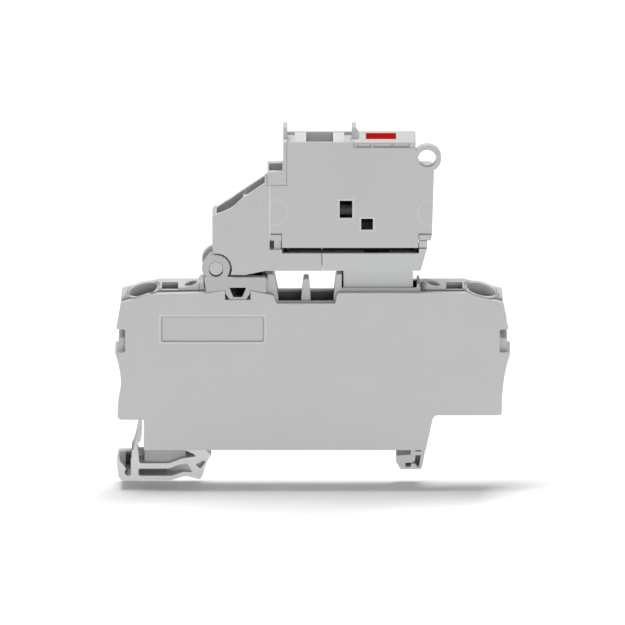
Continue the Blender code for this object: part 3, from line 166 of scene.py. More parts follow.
# Rectangles in X and Z: left, right, bottom, top.
LABELS = ((-25.0, -7.56, 19.4, 23.9),)
LENS_PANELS = (
    (8.15, 10.6, 54.16, 54.75),
    (11.05, 14.1, 54.16, 54.75),
    (14.3, 17.0, 54.16, 54.75),
)
TEST_WINDOWS = ((5.27, 7.38, 41.54, 44.6), (8.95, 10.9, 39.45, 41.41))
# Their lines: distance outside the edges, width, and shade against the plastic. The label's inner
# line is painted shade, its outer line a painted highlight.
LABEL_SHADE_AND_HIGHLIGHT_LINES = ((-0.1, 0.16, 0.74), (0.22, 0.16, 1.16))
PANEL_LINE = (0.0, 0.14, 0.72)
# The windows' line is a painted highlight round each window.
WINDOW_HIGHLIGHT_LINE = (0.13, 0.22, 1.2)

# Marks of the mould's pins on the fuse holder's front: X, Z and radius.
LEVER_RINGS = ((-8.3, 43.8, 0.65), (-13.8, 39.25, 0.8), (-13.8, 39.25, 0.12))
DRAWER_RINGS = ((-5.8, 42.5, 2.29), (20.8, 42.4, 2.29))
# Their lines: width, and shade against the plastic.
LEVER_RING_LINE = (0.12, 0.93)
DRAWER_RING_LINE = (0.14, 1.1)

# Depths that keep a mark to the front faces.
HOLDER_FACE = -2.9
LENS_BLOCK_FACE = -2.7

# The gap between the beam's two parts.
SEAM_X = 2.3
SEAM_WIDTH = 0.14
SEAM_GREY = grey(0.06)

# The mouldings' roughness, and the bracket's shade against the housing.
PLASTIC_ROUGHNESS = 0.5
BRACKET_ROUGHNESS = 0.45
HOLDER_ROUGHNESS = 0.46
DRAWER_ROUGHNESS = 0.44
BRACKET_SHADE = 0.9

# Blocks on the housing: low corner, high corner, edge round, then a point on the sloping front
# and the slope's outward normal, if there is a slope.
HOUSING_BLOCKS = {
    "tool_slot_sill_left": ((-25.0, -1.76, 24.0), (-22.0, -1.2, 28.3), 0.1, None),
    "tool_slot_sill_right": ((23.2, -1.76, 24.0), (26.2, -1.2, 28.3), 0.1, None),
    "foot_upper_floor": (
        (-27.9, -1.7, -2.8),
        (-20.9, 1.2, -0.42),
        0.05,
        ((-27.9, -0.9, -2.8), (-0.064, -0.891, 0.449)),
    ),
    "foot_lower_floor": (
        (-24.6, -1.7, -4.9),
        (-19.9, 1.4, -2.9),
        0.05,
        ((-24.6, 1.2, -3.4), (-0.518, -0.855, 0.0)),
    ),
}

# Metals: colour and roughness.
METALS = {
    "tinned_copper_strip": ((0.66, 0.52, 0.40), 0.32),
    "spring_strip": ((0.56, 0.56, 0.54), 0.28),
    "nickel_plate": ((0.70, 0.68, 0.63), 0.22),
    "fuse_alloy": ((0.20, 0.16, 0.14), 0.4),
}
# Which metal a node has, by the start of its name.
METAL_OF = {
    "current_bar": "tinned_copper_strip",
    "fork_contact": "tinned_copper_strip",
    "blade_contact": "tinned_copper_strip",
    "fuse_wire": "fuse_alloy",
    "clamp_spring": "spring_strip",
    "fuse_cap": "nickel_plate",
    "indicator_lead": "nickel_plate",
}
GLASS_TINT = (0.50, 0.44, 0.42)
LAMP_TINT = (0.85, 0.80, 0.72)
BOARD_GREEN = (0.02, 0.11, 0.04)
RESISTOR_BODY = (0.60, 0.47, 0.30)
RESISTOR_BAND = (0.16, 0.05, 0.02)
BAND_SPACING = 0.45
BAND_START = 0.10
BAND_END = 0.14
FLOOR_WHITE = grey(0.93)

# Noise scales, in waves over a metre of the block.
PLASTIC_FLOW = 90.0
PLASTIC_GLOSS = 420.0
PLASTIC_GRAIN = 5200.0
METAL_STREAKS = (4000.0, 200.0, 4000.0)
METAL_STAIN = 500.0
LENS_CLOUDS = 700.0
GLASS_RIPPLE = 260.0
BOARD_WEAVE = 2600.0

# A Mix node's sockets for colours.
MIX_FIRST = 6
MIX_SECOND = 7
MIX_RESULT = 2

# The picture, in pixels: its size, the column of X = 0 and the row of Z = 0 on the block's front.
IMAGE_SIZE = 625
ZERO_COLUMN = 308.6
ZERO_ROW = 450.5

# The studio, in metres. Lamps: width and height, then place.
TOP_LAMP = ((0.7, 0.2), (-0.05, 0.08, 0.9))
FRONT_LAMP = ((0.8, 0.5), (0.25, -1.2, 0.22))
LAMP_TARGET = (0.0, 0.0, 0.02)
FLOOR_SIZE = 6.0


class MouldingSizes(bpy.types.PropertyGroup):
    """Edge rounds of the moulded pieces."""

    edge_round: bpy.props.FloatProperty(
        name="Edge round",
        description="Radius of the moulded outer edges",
        default=0.18 * MM,
        unit="LENGTH",
        precision=5,
    )
    rim_round: bpy.props.FloatProperty(
        name="Rim round",
        description="Radius of the end plate's edge",
        default=0.22 * MM,
        unit="LENGTH",
        precision=5,
    )
    fine_round: bpy.props.FloatProperty(
        name="Fine edge round",
        description="Radius of the edges of small mouldings",
        default=0.1 * MM,
        unit="LENGTH",
        precision=5,
    )
    merge_distance: bpy.props.FloatProperty(
        name="Merge distance",
        description="Points of a copied solid closer than this are one point",
        default=0.001 * MM,
        unit="LENGTH",
        precision=6,
    )


class MouldingColours(bpy.types.PropertyGroup):
    """Colours of the plastics."""

    housing_grey: bpy.props.FloatVectorProperty(
        name="Housing grey",
        description="Light neutral grey of the block's mouldings",
        default=(0.515, 0.517, 0.517),
        size=3,
        subtype="COLOR",
    )
    # The plug's own cooler grey, painted a little lighter than the housing to offset the beam's
    # shadow on it.
    plug_grey: bpy.props.FloatVectorProperty(
        name="Plug grey",
        description="Slightly cooler grey of the plug moulding",
        default=(0.535, 0.545, 0.55),
        size=3,
        subtype="COLOR",
    )
    lens_red: bpy.props.FloatVectorProperty(
        name="Lens red",
        description="Tint of the indicator lens",
        default=(0.36, 0.002, 0.002),
        size=3,
        subtype="COLOR",
    )


class StudioSizes(bpy.types.PropertyGroup):
    """Camera, floor and lights."""

    elevation: bpy.props.FloatProperty(
        name="Elevation",
        description="How far the camera looks down",
        default=radians(18.5),
        subtype="ANGLE",
    )
    distance: bpy.props.FloatProperty(
        name="Distance",
        description="From the camera to the block's front",
        default=4.0,
        unit="LENGTH",
    )
    pixels_per_metre: bpy.props.FloatProperty(
        name="Pixels per metre",
        description="Scale of the picture along the block",
        default=5900.0,
    )
    floor_level: bpy.props.FloatProperty(
        name="Floor level",
        description="Height of the floor, where the underside of a mounting rail would stand",
        default=-7.5 * MM,
        unit="LENGTH",
        precision=5,
    )
    top_power: bpy.props.FloatProperty(
        name="Top power",
        description="Power of the soft lamp overhead",
        default=8.6,
        unit="POWER",
    )
    front_power: bpy.props.FloatProperty(
        name="Front power",
        description="Power of the soft lamp in front",
        default=4.4,
        unit="POWER",
    )
    ambient: bpy.props.FloatProperty(
        name="Ambient",
        description="Strength of the light from the white surroundings",
        default=0.29,
    )


def settings():
    scene = bpy.context.scene
    return scene.block_mouldings, scene.block_colours, scene.block_studio


def shade(colour, factor):
    return tuple(channel * factor for channel in colour)


def middle_and_size(low, high):
    """Middle and size in metres of a box between two corners in millimetres."""
    middle = [(a + b) / 2 * MM for a, b in zip(low, high)]
    size = [(b - a) * MM for a, b in zip(low, high)]
    return middle, size


def new_material(name, colour, roughness, metallic=0.0):
    """A material with its shader and its Object coordinates."""
    material = bpy.data.materials.new(name)
    material.use_nodes = True
    nodes = material.node_tree.nodes
    shader = nodes["Principled BSDF"]
    shader.inputs["Base Color"].default_value = (*colour, 1.0)
    shader.inputs["Roughness"].default_value = roughness
    shader.inputs["Metallic"].default_value = metallic
    place = nodes.new("ShaderNodeTexCoord")
    return material, shader, place.outputs["Object"]


def link(owner, output, socket):
    owner.node_tree.links.new(output, socket)


def noise(material, place, scale, detail=2.0, roughness=0.5):
    node = material.node_tree.nodes.new("ShaderNodeTexNoise")
    node.inputs["Scale"].default_value = scale
    node.inputs["Detail"].default_value = detail
    node.inputs["Roughness"].default_value = roughness
    link(material, place, node.inputs["Vector"])
    return node.outputs["Fac"]


def ramp(material, value, low, high, low_value, high_value):
    """Map a value from one range to another."""
    node = material.node_tree.nodes.new("ShaderNodeMapRange")
    link(material, value, node.inputs["Value"])
    names = ("From Min", "From Max", "To Min", "To Max")
    for name, number in zip(names, (low, high, low_value, high_value)):
        node.inputs[name].default_value = number
    return node.outputs["Result"]


def fall(material, value, low, high):
    """One up to a low value, then down to zero at a high one."""
    return ramp(material, value, low, high, 1.0, 0.0)


def mix_colours(material, factor, first, second):
    """Mix a colour, which may be an output, with a second colour."""
    node = material.node_tree.nodes.new("ShaderNodeMix")
    node.data_type = "RGBA"
    link(material, factor, node.inputs["Factor"])
    if isinstance(first, bpy.types.NodeSocket):
        link(material, first, node.inputs[MIX_FIRST])
    else:
        node.inputs[MIX_FIRST].default_value = (*first, 1.0)
    node.inputs[MIX_SECOND].default_value = (*second, 1.0)
    return node.outputs[MIX_RESULT]


def tint(material, shader, factor, first, second):
    """Mix the base colour from two."""
    link(material, mix_colours(material, factor, first, second), shader.inputs["Base Color"])


def lay_colour(material, shader, mask, colour):
    """Lay a colour over the present base colour where a mask is one."""
    present = shader.inputs["Base Color"].links[0].from_socket
    tint(material, shader, mask, present, colour)


def bump(material, shader, height, strength, distance):
    """Raise the surface by a height, over a distance in millimetres."""
    node = material.node_tree.nodes.new("ShaderNodeBump")
    node.inputs["Strength"].default_value = strength
    node.inputs["Distance"].default_value = distance * MM
    link(material, height, node.inputs["Height"])
    link(material, node.outputs["Normal"], shader.inputs["Normal"])


def split_axes(material, vector):
    """The outputs X, Y and Z of a vector."""
    node = material.node_tree.nodes.new("ShaderNodeSeparateXYZ")
    link(material, vector, node.inputs["Vector"])
    return node.outputs


def number_step(owner, operation, first, second=None):
    """One operation on an output and a second output or a number."""
    node = owner.node_tree.nodes.new("ShaderNodeMath")
    node.operation = operation
    link(owner, first, node.inputs[0])
    if isinstance(second, bpy.types.NodeSocket):
        link(owner, second, node.inputs[1])
    elif second is not None:
        node.inputs[1].default_value = second
    return node.outputs["Value"]


def vector_step(material, operation, first, second=None):
    """One vector operation, on an output and a constant."""
    node = material.node_tree.nodes.new("ShaderNodeVectorMath")
    node.operation = operation
    link(material, first, node.inputs[0])
    if second is not None:
        node.inputs[1].default_value = second
    gives_number = operation in ("DOT_PRODUCT", "LENGTH", "DISTANCE")
    return node.outputs["Value" if gives_number else "Vector"]


def multiply(material, *values):
    """The product of several outputs."""
    result = values[0]
    for value in values[1:]:
        result = number_step(material, "MULTIPLY", result, value)
    return result


def away_from(material, value, number):
    """How far a value is from a number, either way."""
    return number_step(material, "ABSOLUTE", number_step(material, "SUBTRACT", value, number))


def outside_box(material, place, low, high):
    """How far a place is outside a box along X, Y and Z, below zero where it is inside."""
    middle, size = middle_and_size(low, high)
    offset = vector_step(material, "SUBTRACT", place, middle)
    reach = vector_step(material, "ABSOLUTE", offset)
    half = [length / 2 for length in size]
    return split_axes(material, vector_step(material, "SUBTRACT", reach, half))


def box_mask(material, place, low, high, fade):
    """One inside a box, fading out below its top."""
    over = outside_box(material, place, low, high)
    sides = [fall(material, over[axis], 0.0, EDGE * MM) for axis in "XY"]
    return multiply(material, *sides, fall(material, over["Z"], -fade * MM, 0.0))


def bore_mask(material, place, mouth, axis, radius, fade, length):
    """One inside a round bore that goes down from its mouth, fading out towards the mouth."""
    offset = vector_step(material, "SUBTRACT", place, [value * MM for value in mouth])
    along = vector_step(material, "DOT_PRODUCT", offset, axis)
    across = vector_step(material, "LENGTH", vector_step(material, "CROSS_PRODUCT", offset, axis))
    return multiply(
        material,
        fall(material, across, radius * MM, (radius + EDGE) * MM),
        fall(material, along, -fade * MM, 0.0),
        ramp(material, along, -(length + END_EDGE) * MM, -length * MM, 0.0, 1.0),
    )


def ring_mask(material, place, x, z, radius, width):
    """One on a thin circle in the X and Z plane."""
    flat = vector_step(material, "MULTIPLY", place, (1.0, 0.0, 1.0))
    distance = vector_step(material, "DISTANCE", flat, (x * MM, 0.0, z * MM))
    off = away_from(material, distance, radius * MM)
    return fall(material, off, 0.4 * width * MM, width * MM)


def plane_mask(material, place, axis, level, width):
    """One close to a plane across an axis."""
    off = away_from(material, split_axes(material, place)[axis], level * MM)
    return fall(material, off, 0.5 * width * MM, width * MM)


def line_mask(material, place, start, end, width):
    """One along a line in X and Z."""
    start = Vector((start[0], 0.0, start[1])) * MM
    way = Vector((end[0], 0.0, end[1])) * MM - start
    length = way.length
    way.normalize()
    offset = vector_step(material, "SUBTRACT", place, start + way * length / 2)
    across = vector_step(material, "DOT_PRODUCT", offset, (-way.z, 0.0, way.x))
    along = vector_step(material, "DOT_PRODUCT", offset, way)
    side = away_from(material, across, 0.0)
    reach = away_from(material, along, 0.0)
    return multiply(
        material,
        fall(material, side, 0.3 * width * MM, 0.5 * width * MM),
        fall(material, reach, length / 2, length / 2 + END_EDGE * MM),
    )


def rectangle_mask(material, place, edges, level, width):
    """One on a rectangular line in X and Z, level outside the given edges."""
    left, right, bottom, top = edges
    over = outside_box(material, place, (left, 0.0, bottom), (right, 0.0, top))
    farther = number_step(material, "MAXIMUM", over["X"], over["Z"])
    off = away_from(material, farther, level * MM)
    return fall(material, off, 0.4 * width * MM, width * MM)


def in_front(material, place, mask, depth):
    """A mask kept to what lies in front of a depth."""
    y = split_axes(material, place)["Y"]
    return multiply(material, mask, fall(material, y, depth * MM, (depth + DEPTH_EDGE) * MM))


def paint_shade_and_light_boxes(finish, boxes):
    """Lay a painted shade or painted light colour over the inside of each box."""
    material, shader, place = finish
    for low, high, fade, colour in boxes:
        lay_colour(material, shader, box_mask(material, place, low, high, fade), colour)


def line_rings(finish, rings, line, colour):
    """Draw rings on the fuse holder's front in a shade of its colour."""
    material, shader, place = finish
    width, factor = line
    for x, z, radius in rings:
        ring = ring_mask(material, place, x, z, radius, width)
        ring = in_front(material, place, ring, HOLDER_FACE)
        lay_colour(material, shader, ring, shade(colour, factor))


def line_rectangles(finish, rectangles, line, colour, depth=None):
    """Draw rectangles in a shade of a colour, only in front of a depth if one is given."""
    material, shader, place = finish
    level, width, factor = line
    for edges in rectangles:
        mask = rectangle_mask(material, place, edges, level, width)
        if depth is not None:
            mask = in_front(material, place, mask, depth)
        lay_colour(material, shader, mask, shade(colour, factor))


def moulded_plastic(name, colour, roughness):
    """Matte polyamide: a fine spark-eroded grain, with faint flow marks in colour and gloss."""
    material, shader, place = new_material(name, colour, roughness)
    flow = noise(material, place, PLASTIC_FLOW, detail=3.0)
    tint(material, shader, flow, shade(colour, 0.975), shade(colour, 1.02))
    gloss = noise(material, place, PLASTIC_GLOSS)
    gloss = ramp(material, gloss, 0.3, 0.7, roughness - 0.05, roughness + 0.06)
    link(material, gloss, shader.inputs["Roughness"])
    grain = noise(material, place, PLASTIC_GRAIN, detail=3.0, roughness=0.6)
    bump(material, shader, grain, strength=0.12, distance=0.02)
    shader.inputs["Specular IOR Level"].default_value = 0.4
    return material, shader, place


def lens_plastic(name, colour, roughness):
    """Tinted plastic with a smooth skin."""
    material, shader, place = new_material(name, colour, roughness)
    shader.inputs["IOR"].default_value = 1.49
    shader.inputs["Specular IOR Level"].default_value = 0.004
    clouds = noise(material, place, LENS_CLOUDS)
    tint(material, shader, clouds, shade(colour, 0.9), shade(colour, 1.1))
    return material


def fuse_glass_material():
    """The fuse's glass tube, with a faint ripple."""
    material, shader, place = new_material("fuse_tube_glass", GLASS_TINT, 0.03)
    shader.inputs["Specular IOR Level"].default_value = 0.12
    shader.inputs["Transmission Weight"].default_value = 1.0
    shader.inputs["IOR"].default_value = 1.5
    ripple = noise(material, place, GLASS_RIPPLE, detail=1.0)
    bump(material, shader, ripple, strength=0.05, distance=0.02)
    return material


def plated_metal(name, colour, roughness):
    """Plated strip or cap: streaks drawn along Y, with faint stains."""
    material, shader, place = new_material(name, colour, roughness, 1.0)
    stretch = material.node_tree.nodes.new("ShaderNodeMapping")
    stretch.inputs["Scale"].default_value = METAL_STREAKS
    link(material, place, stretch.inputs["Vector"])
    streaks = noise(material, stretch.outputs["Vector"], 1.0, detail=3.0)
    gloss = ramp(material, streaks, 0.3, 0.7, roughness - 0.06, roughness + 0.1)
    link(material, gloss, shader.inputs["Roughness"])
    stain = noise(material, place, METAL_STAIN, detail=3.0)
    tint(material, shader, stain, shade(colour, 0.85), shade(colour, 1.08))
    bump(material, shader, streaks, strength=0.08, distance=0.01)
    return material, shader, place


def circuit_board_material():
    """Green solder mask with a faint weave of the laminate below."""
    material, shader, place = new_material("solder_mask", BOARD_GREEN, 0.35)
    weave = noise(material, place, BOARD_WEAVE, detail=1.0)
    tint(material, shader, weave, shade(BOARD_GREEN, 0.8), shade(BOARD_GREEN, 1.25))
    bump(material, shader, weave, strength=0.1, distance=0.02)
    return material


def resistor_material():
    """Lacquered body with dark bands along X."""
    material, shader, place = new_material("resistor_lacquer", RESISTOR_BODY, 0.4)
    along = split_axes(material, place)["X"]
    wave = number_step(material, "PINGPONG", along, BAND_SPACING * MM)
    band = fall(material, wave, BAND_START * MM, BAND_END * MM)
    tint(material, shader, band, RESISTOR_BODY, RESISTOR_BAND)
    return material


def white_floor_material():
    """White diffuse floor with no gloss."""
    material, shader, _ = new_material("studio_white", FLOOR_WHITE, 0.9)
    shader.inputs["Specular IOR Level"].default_value = 0.0
    return material


def give(obj, material):
    obj.data.materials.clear()
    obj.data.materials.append(material)


def select_only(obj):
    bpy.ops.object.select_all(action="DESELECT")
    bpy.context.view_layer.objects.active = obj
    obj.select_set(True)


def body_of(node):
    """The body that a node belongs to."""
    groups = frame["record"]["behaviour"]["bodies"]
    return next(body for body, members in groups.items() if node in members)


def round_edges(piece, radius):
    """The small rounds that a mould leaves, with flat faces kept flat in the shading."""
    select_only(piece)
    rounding = piece.modifiers.new("Edge rounds", "BEVEL")
    rounding.width = radius
    rounding.segments = ROUND_SEGMENTS
    rounding.limit_method = "ANGLE"
    rounding.angle_limit = ROUND_ANGLE
    rounding.use_clamp_overlap = True
    bpy.ops.object.modifier_apply(modifier=rounding.name)
    bpy.ops.object.shade_smooth_by_angle(angle=SMOOTH_ANGLE)
    weighting = piece.modifiers.new("Flat faces", "WEIGHTED_NORMAL")
    weighting.keep_sharp = True
    weighting.weight = FLAT_WEIGHT
    bpy.ops.object.modifier_apply(modifier=weighting.name)


def cut_away(piece, cutter):
    """Cut one object out of another and remove it."""
    cut = piece.modifiers.new("Cut", "BOOLEAN")
    cut.object = cutter
    cut.solver = "EXACT"
    select_only(piece)
    bpy.ops.object.modifier_apply(modifier=cut.name)
    bpy.data.objects.remove(cutter)


def moulded_copy(node, name, material, edge_radius, cutters=()):
    """Stand a copy of a moulded node in its place, trimmed by cutters and with rounded edges."""
    source = frame["nodes"][node]
    piece = bpy.data.objects.new(name, source.data.copy())
    bpy.context.scene.collection.objects.link(piece)
    select_only(piece)
    bpy.ops.object.mode_set(mode="EDIT")
    bpy.ops.mesh.select_all(action="SELECT")
    bpy.ops.mesh.remove_doubles(threshold=bpy.context.scene.block_mouldings.merge_distance)
    bpy.ops.mesh.dissolve_limited(angle_limit=FLAT_ANGLE)
    bpy.ops.object.mode_set(mode="OBJECT")
    for cutter in cutters:
        cut_away(piece, cutter)
    round_edges(piece, edge_radius)
    give(piece, material)
    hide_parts(node)
    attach(piece, body_of(node))


def finish_on_base(piece, name, material, radius):
    """Name, round and dress a new piece of the fixed body."""
    piece.name = name
    round_edges(piece, radius * MM)
    give(piece, material)
    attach(piece, "base")


def add_block(name, low, high, material, radius, slope):
    """A moulded block between two corners, its front cut along a slope if one is given."""
    middle, size = middle_and_size(low, high)
    bpy.ops.object.select_all(action="DESELECT")
    bpy.ops.mesh.primitive_cube_add(size=1.0, location=middle, scale=size)
    piece = bpy.context.object
    bpy.ops.object.transform_apply(location=True, rotation=True, scale=True)
    if slope:
        point, outward = slope
        bpy.ops.object.mode_set(mode="EDIT")
        bpy.ops.mesh.select_all(action="SELECT")
        bpy.ops.mesh.bisect(
            plane_co=[value * MM for value in point],
            plane_no=outward,
            use_fill=True,
            clear_outer=True,
        )
        bpy.ops.mesh.select_all(action="SELECT")
        bpy.ops.mesh.normals_make_consistent(inside=False)
        bpy.ops.object.mode_set(mode="OBJECT")
    finish_on_base(piece, name, material, radius)


def entry_axis(lean):
    """The way a wire entry points: outwards by its lean, and a little to the front."""
    level = cos(ENTRY_TILT)
    return Vector((sin(lean) * level, -sin(ENTRY_TILT), cos(lean) * level))


def leaning_drum(top, lean, radius, height, scale=(1.0, 1.0, 1.0)):
    """A drum along an entry's axis, hung from the centre of its top."""
    middle = Vector(top) - entry_axis(lean) * height / 2
    bpy.ops.object.select_all(action="DESELECT")
    bpy.ops.mesh.primitive_cylinder_add(
        vertices=DRUM_SIDES,
        radius=radius * MM,
        depth=height * MM,
        location=middle * MM,
        rotation=(ENTRY_TILT, lean, 0.0),
        scale=scale,
    )
    return bpy.context.object


def add_collar(name, mouth, lean, material):
    """The collar of an entry: an oval bore in a leaning drum that ends at the block's front."""
    axis = entry_axis(lean)
    piece = leaning_drum(mouth, lean, COLLAR_RADIUS, COLLAR_HEIGHT)
    bore_top = Vector(mouth) + axis * ENTRY_OVERRUN + Vector((0.0, ENTRY_SHIFT, 0.0))
    bore_height = COLLAR_HEIGHT + 2 * ENTRY_OVERRUN
    bore_scale = (1.0, ENTRY_SQUEEZE, 1.0)
    cut_away(piece, leaning_drum(bore_top, lean, ENTRY_RADIUS, bore_height, bore_scale))
    bpy.ops.object.select_all(action="DESELECT")
    size = FRONT_CUTTER_SIZE * MM
    front = cad_box[0][1] + COLLAR_INSET * MM
    place = (mouth[0] * MM, front - size / 2, mouth[2] * MM)
    bpy.ops.mesh.primitive_cube_add(size=size, location=place)
    cut_away(piece, bpy.context.object)
    select_only(piece)
    bpy.ops.object.transform_apply(location=True, rotation=True, scale=True)
    finish_on_base(piece, name, material, COLLAR_ROUND)


class BLOCK_OT_housing(bpy.types.Operator):
    """Round and grain the housing and its end plate, with collars, sills and foot floors"""

    bl_idname = "block.housing"
    bl_label = "Housing and end plate"

    def execute(self, context):
        sizes, colours, _ = settings()
        colour = colours.housing_grey[:]
        finish = moulded_plastic("housing_plastic", colour, PLASTIC_ROUGHNESS)
        plastic, shader, place = finish
        # Painted shade in the housing's wells, slots and pockets.
        paint_shade_and_light_boxes(finish, HOUSING_PAINTED_SHADE)
        # Painted shade down each leaning test hole, fading out towards its mouth.
        for outward in (-1, 1):
            axis = (outward * sin(TEST_LEAN), 0.0, cos(TEST_LEAN))
            mouth = (MIDDLE_X + outward * TEST_REACH, BORE_Y, TEST_TOP)
            hole = bore_mask(plastic, place, mouth, axis, TEST_RADIUS, TEST_SHADE_FADE, TEST_DEPTH)
            lay_colour(plastic, shader, hole, TEST_HOLE_SHADE)
        # Painted shadow lines along the joints with the end plate.
        for start, end, level in PLATE_SHADOW_LINES:
            line = line_mask(plastic, place, start, end, PLATE_SHADOW_WIDTH)
            line = in_front(plastic, place, line, PLATE_SHADOW_FACE)
            lay_colour(plastic, shader, line, grey(level))
        # Painted light on the snap foot's front faces and painted shade in its rooms.
        paint_shade_and_light_boxes(finish, FOOT_PAINTED_LIGHT_AND_SHADE)
        entries = []
        trims = []
        for outward in (-1, 1):
            lean = outward * ENTRY_LEAN
            sink = Vector((sin(lean), 0.0, cos(lean))) * ENTRY_SINK
            mouth = Vector((MIDDLE_X + outward * ENTRY_REACH, BORE_Y, ENTRY_TOP)) - sink
            top = mouth + entry_axis(lean) * TRIM_HEIGHT
            entries.append((mouth, lean))
            trims.append(leaning_drum(top, lean, COLLAR_RADIUS, TRIM_HEIGHT))
        moulded_copy("base_housing", "housing_moulding", plastic, sizes.edge_round, cutters=trims)
        for side, (mouth, lean) in zip(("left", "right"), entries):
            add_collar(f"entry_collar_{side}", mouth, lean, plastic)
        for name, (low, high, radius, slope) in HOUSING_BLOCKS.items():
            add_block(name, low, high, plastic, radius, slope)
        finish = moulded_plastic("plate_plastic", colour, PLASTIC_ROUGHNESS)
        # Painted shade just inside the label's edge and a painted highlight just outside it.
        for line in LABEL_SHADE_AND_HIGHLIGHT_LINES:
            line_rectangles(finish, LABELS, line, colour)
        moulded_copy("end_plate", "end_plate_moulding", finish[0], sizes.rim_round)
        return {"FINISHED"}


class BLOCK_OT_bracket(bpy.types.Operator):
    """Round and grain the hinge bracket"""

    bl_idname = "block.bracket"
    bl_label = "Hinge bracket"

    def execute(self, context):
        sizes, colours, _ = settings()
        colour = shade(colours.housing_grey, BRACKET_SHADE)
        finish = moulded_plastic("bracket_plastic", colour, BRACKET_ROUGHNESS)
        # Painted shade in the bracket's hollows.
        paint_shade_and_light_boxes(finish, BRACKET_PAINTED_SHADE)
        moulded_copy("hinge_bracket", "bracket_moulding", finish[0], sizes.fine_round)
        return {"FINISHED"}


class BLOCK_OT_holder(bpy.types.Operator):
    """Round and grain the pivoting lever and the plug"""

    bl_idname = "block.holder"
    bl_label = "Fuse holder"

    def execute(self, context):
        sizes, colours, _ = settings()
        colour = colours.housing_grey[:]
        finish = moulded_plastic("lever_plastic", colour, HOLDER_ROUGHNESS)
        lever, shader, place = finish
        line_rings(finish, LEVER_RINGS, LEVER_RING_LINE, colour)
        # Painted shade in the lever's hollows and slot.
        paint_shade_and_light_boxes(finish, LEVER_PAINTED_SHADE)
        seam = plane_mask(lever, place, "X", SEAM_X, SEAM_WIDTH)
        lay_colour(lever, shader, seam, SEAM_GREY)
        moulded_copy("pivot_arm", "lever_moulding", lever, sizes.edge_round)
        # The plug's grey carries painted light against the beam's shadow.
        finish = moulded_plastic("plug_plastic", colours.plug_grey[:], HOLDER_ROUGHNESS)
        # Painted shade and a painted shadow line on the plug.
        paint_shade_and_light_boxes(finish, PLUG_PAINTED_SHADE)
        moulded_copy("contact_base", "plug_moulding", finish[0], sizes.fine_round)
        return {"FINISHED"}


class BLOCK_OT_drawer(bpy.types.Operator):
    """Round and grain the drawer's shell and front"""

    bl_idname = "block.drawer"
    bl_label = "Fuse drawer"

    def execute(self, context):
        sizes, colours, _ = settings()
        colour = colours.housing_grey[:]
        finish = moulded_plastic("drawer_plastic", colour, DRAWER_ROUGHNESS)
        # Painted shade inside the fuse room.
        paint_shade_and_light_boxes(finish, DRAWER_PAINTED_SHADE)
        line_rings(finish, DRAWER_RINGS, DRAWER_RING_LINE, colour)
        line_rectangles(finish, LENS_PANELS, PANEL_LINE, colour, LENS_BLOCK_FACE)
        # Painted highlight rims round the windows.
        line_rectangles(finish, TEST_WINDOWS, WINDOW_HIGHLIGHT_LINE, colour, HOLDER_FACE)
        moulded_copy("drawer_shell", "drawer_shell_moulding", finish[0], sizes.fine_round)
        moulded_copy("drawer_cover", "drawer_front_moulding", finish[0], sizes.fine_round)
        return {"FINISHED"}


class BLOCK_OT_indicator(bpy.types.Operator):
    """Finish the lens, lamp, board and resistor"""

    bl_idname = "block.indicator"
    bl_label = "Indicator"

    def execute(self, context):
        _, colours, _ = settings()
        nodes = frame["nodes"]
        give(nodes["indicator_lens"], lens_plastic("red_lens_plastic", colours.lens_red[:], 0.22))
        give(nodes["indicator_lamp"], lens_plastic("lamp_plastic", LAMP_TINT, 0.2))
        give(nodes["indicator_board"], circuit_board_material())
        give(nodes["series_resistor"], resistor_material())
        return {"FINISHED"}


class BLOCK_OT_metal(bpy.types.Operator):
    """Finish the contacts, springs and fuse"""

    bl_idname = "block.metal"
    bl_label = "Contacts and fuse"

    def execute(self, context):
        metals = {name: plated_metal(name, *look) for name, look in METALS.items()}
        # Painted shade on the strips in the slot.
        paint_shade_and_light_boxes(metals["tinned_copper_strip"], STRIP_PAINTED_SHADE)
        finishes = {start: metals[name][0] for start, name in METAL_OF.items()}
        finishes["fuse_glass"] = fuse_glass_material()
        for name, obj in frame["nodes"].items():
            for start, material in finishes.items():
                if name.startswith(start):
                    give(obj, material)
        return {"FINISHED"}


def add_camera(scene, studio):
    """A distant camera that looks down on the block's front at the photo's angle and scale."""
    middle_x = (IMAGE_SIZE / 2 - ZERO_COLUMN) / studio.pixels_per_metre
    middle_z = (ZERO_ROW - IMAGE_SIZE / 2) / (studio.pixels_per_metre * cos(studio.elevation))
    target = Vector((middle_x, cad_box[0][1], middle_z))
    camera_data = bpy.data.cameras.new("photo_camera")
    field = IMAGE_SIZE / studio.pixels_per_metre
    camera_data.lens = camera_data.sensor_width * studio.distance / field
    camera = bpy.data.objects.new("photo_camera", camera_data)
    back_off = Vector((0.0, -cos(studio.elevation), sin(studio.elevation)))
    camera.location = target + back_off * studio.distance
    camera.rotation_euler = (radians(90) - studio.elevation, 0.0, 0.0)
    scene.collection.objects.link(camera)
    scene.camera = camera


def add_floor(level):
    bpy.ops.object.select_all(action="DESELECT")
    bpy.ops.mesh.primitive_plane_add(size=FLOOR_SIZE, location=(0.0, 0.0, 0.0))
    floor = bpy.context.object
    floor.name = "studio_floor"
    for vertex in floor.data.vertices:
        vertex.co.z = level
    give(floor, white_floor_material())


def add_light(name, size, place, power):
    """A soft rectangular lamp that faces the block."""
    lamp = bpy.data.lights.new(name, "AREA")
    lamp.shape = "RECTANGLE"
    lamp.size, lamp.size_y = size
    lamp.energy = power
    obj = bpy.data.objects.new(name, lamp)
    obj.location = place
    facing = Vector(LAMP_TARGET) - Vector(place)
    obj.rotation_euler = facing.to_track_quat("-Z", "Y").to_euler()
    bpy.context.scene.collection.objects.link(obj)


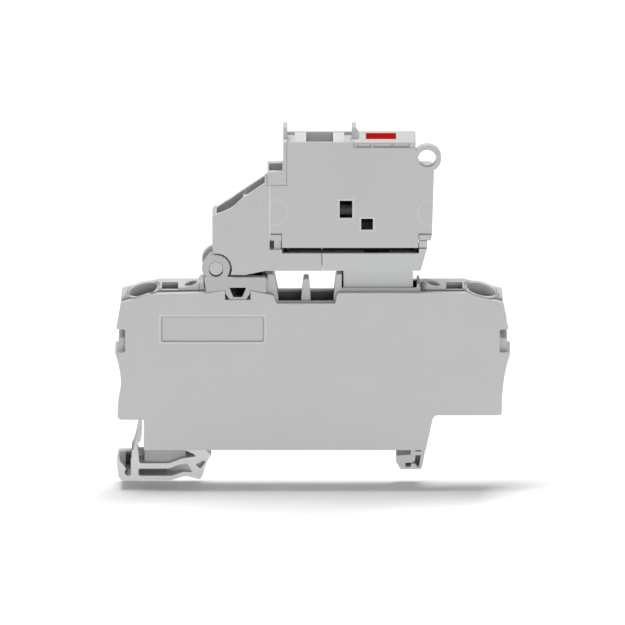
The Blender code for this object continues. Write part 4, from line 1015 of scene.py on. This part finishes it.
def add_world(scene, strength):
    """White surroundings that give a weaker light than the camera sees."""
    world = bpy.data.worlds.new("white_studio")
    world.use_nodes = True
    nodes = world.node_tree.nodes
    ambient = nodes["Background"]
    ambient.inputs["Color"].default_value = (1.0, 1.0, 1.0, 1.0)
    ambient.inputs["Strength"].default_value = strength
    seen = nodes.new("ShaderNodeBackground")
    seen.inputs["Strength"].default_value = 1.0
    rays = nodes.new("ShaderNodeLightPath").outputs
    either = number_step(world, "MAXIMUM", rays["Is Camera Ray"], rays["Is Transmission Ray"])
    mix = nodes.new("ShaderNodeMixShader")
    link(world, either, mix.inputs["Fac"])
    link(world, ambient.outputs["Background"], mix.inputs[1])
    link(world, seen.outputs["Background"], mix.inputs[2])
    link(world, mix.outputs["Shader"], nodes["World Output"].inputs["Surface"])
    scene.world = world


class BLOCK_OT_stage(bpy.types.Operator):
    """Set the camera, the lamps, the floor and the white world"""

    bl_idname = "block.stage"
    bl_label = "Studio"

    def execute(self, context):
        scene = context.scene
        studio = scene.block_studio
        scene.view_settings.view_transform = "Standard"
        add_camera(scene, studio)
        add_floor(studio.floor_level)
        add_light("top_softbox", *TOP_LAMP, studio.top_power)
        add_light("front_fill", *FRONT_LAMP, studio.front_power)
        add_world(scene, studio.ambient)
        return {"FINISHED"}


OPERATORS = (
    BLOCK_OT_stage,
    BLOCK_OT_housing,
    BLOCK_OT_bracket,
    BLOCK_OT_holder,
    BLOCK_OT_drawer,
    BLOCK_OT_indicator,
    BLOCK_OT_metal,
)


class BLOCK_PT_panel(bpy.types.Panel):
    """Lists the steps of the dressing"""

    bl_idname = "BLOCK_PT_panel"
    bl_label = "Terminal block"
    bl_space_type = "VIEW_3D"
    bl_region_type = "UI"
    bl_category = "Terminal block"

    def draw(self, context):
        for operator in OPERATORS:
            self.layout.operator(operator.bl_idname)


CLASSES = (MouldingSizes, MouldingColours, StudioSizes, *OPERATORS, BLOCK_PT_panel)


def register():
    for cls in CLASSES:
        bpy.utils.register_class(cls)
    bpy.types.Scene.block_mouldings = bpy.props.PointerProperty(type=MouldingSizes)
    bpy.types.Scene.block_colours = bpy.props.PointerProperty(type=MouldingColours)
    bpy.types.Scene.block_studio = bpy.props.PointerProperty(type=StudioSizes)


def unregister():
    del bpy.types.Scene.block_studio
    del bpy.types.Scene.block_colours
    del bpy.types.Scene.block_mouldings
    for cls in reversed(CLASSES):
        bpy.utils.unregister_class(cls)


def main():
    register()
    for operator in OPERATORS:
        name = operator.bl_idname.split(".")[1]
        getattr(bpy.ops.block, name)()


if __name__ == "__main__":
    main()
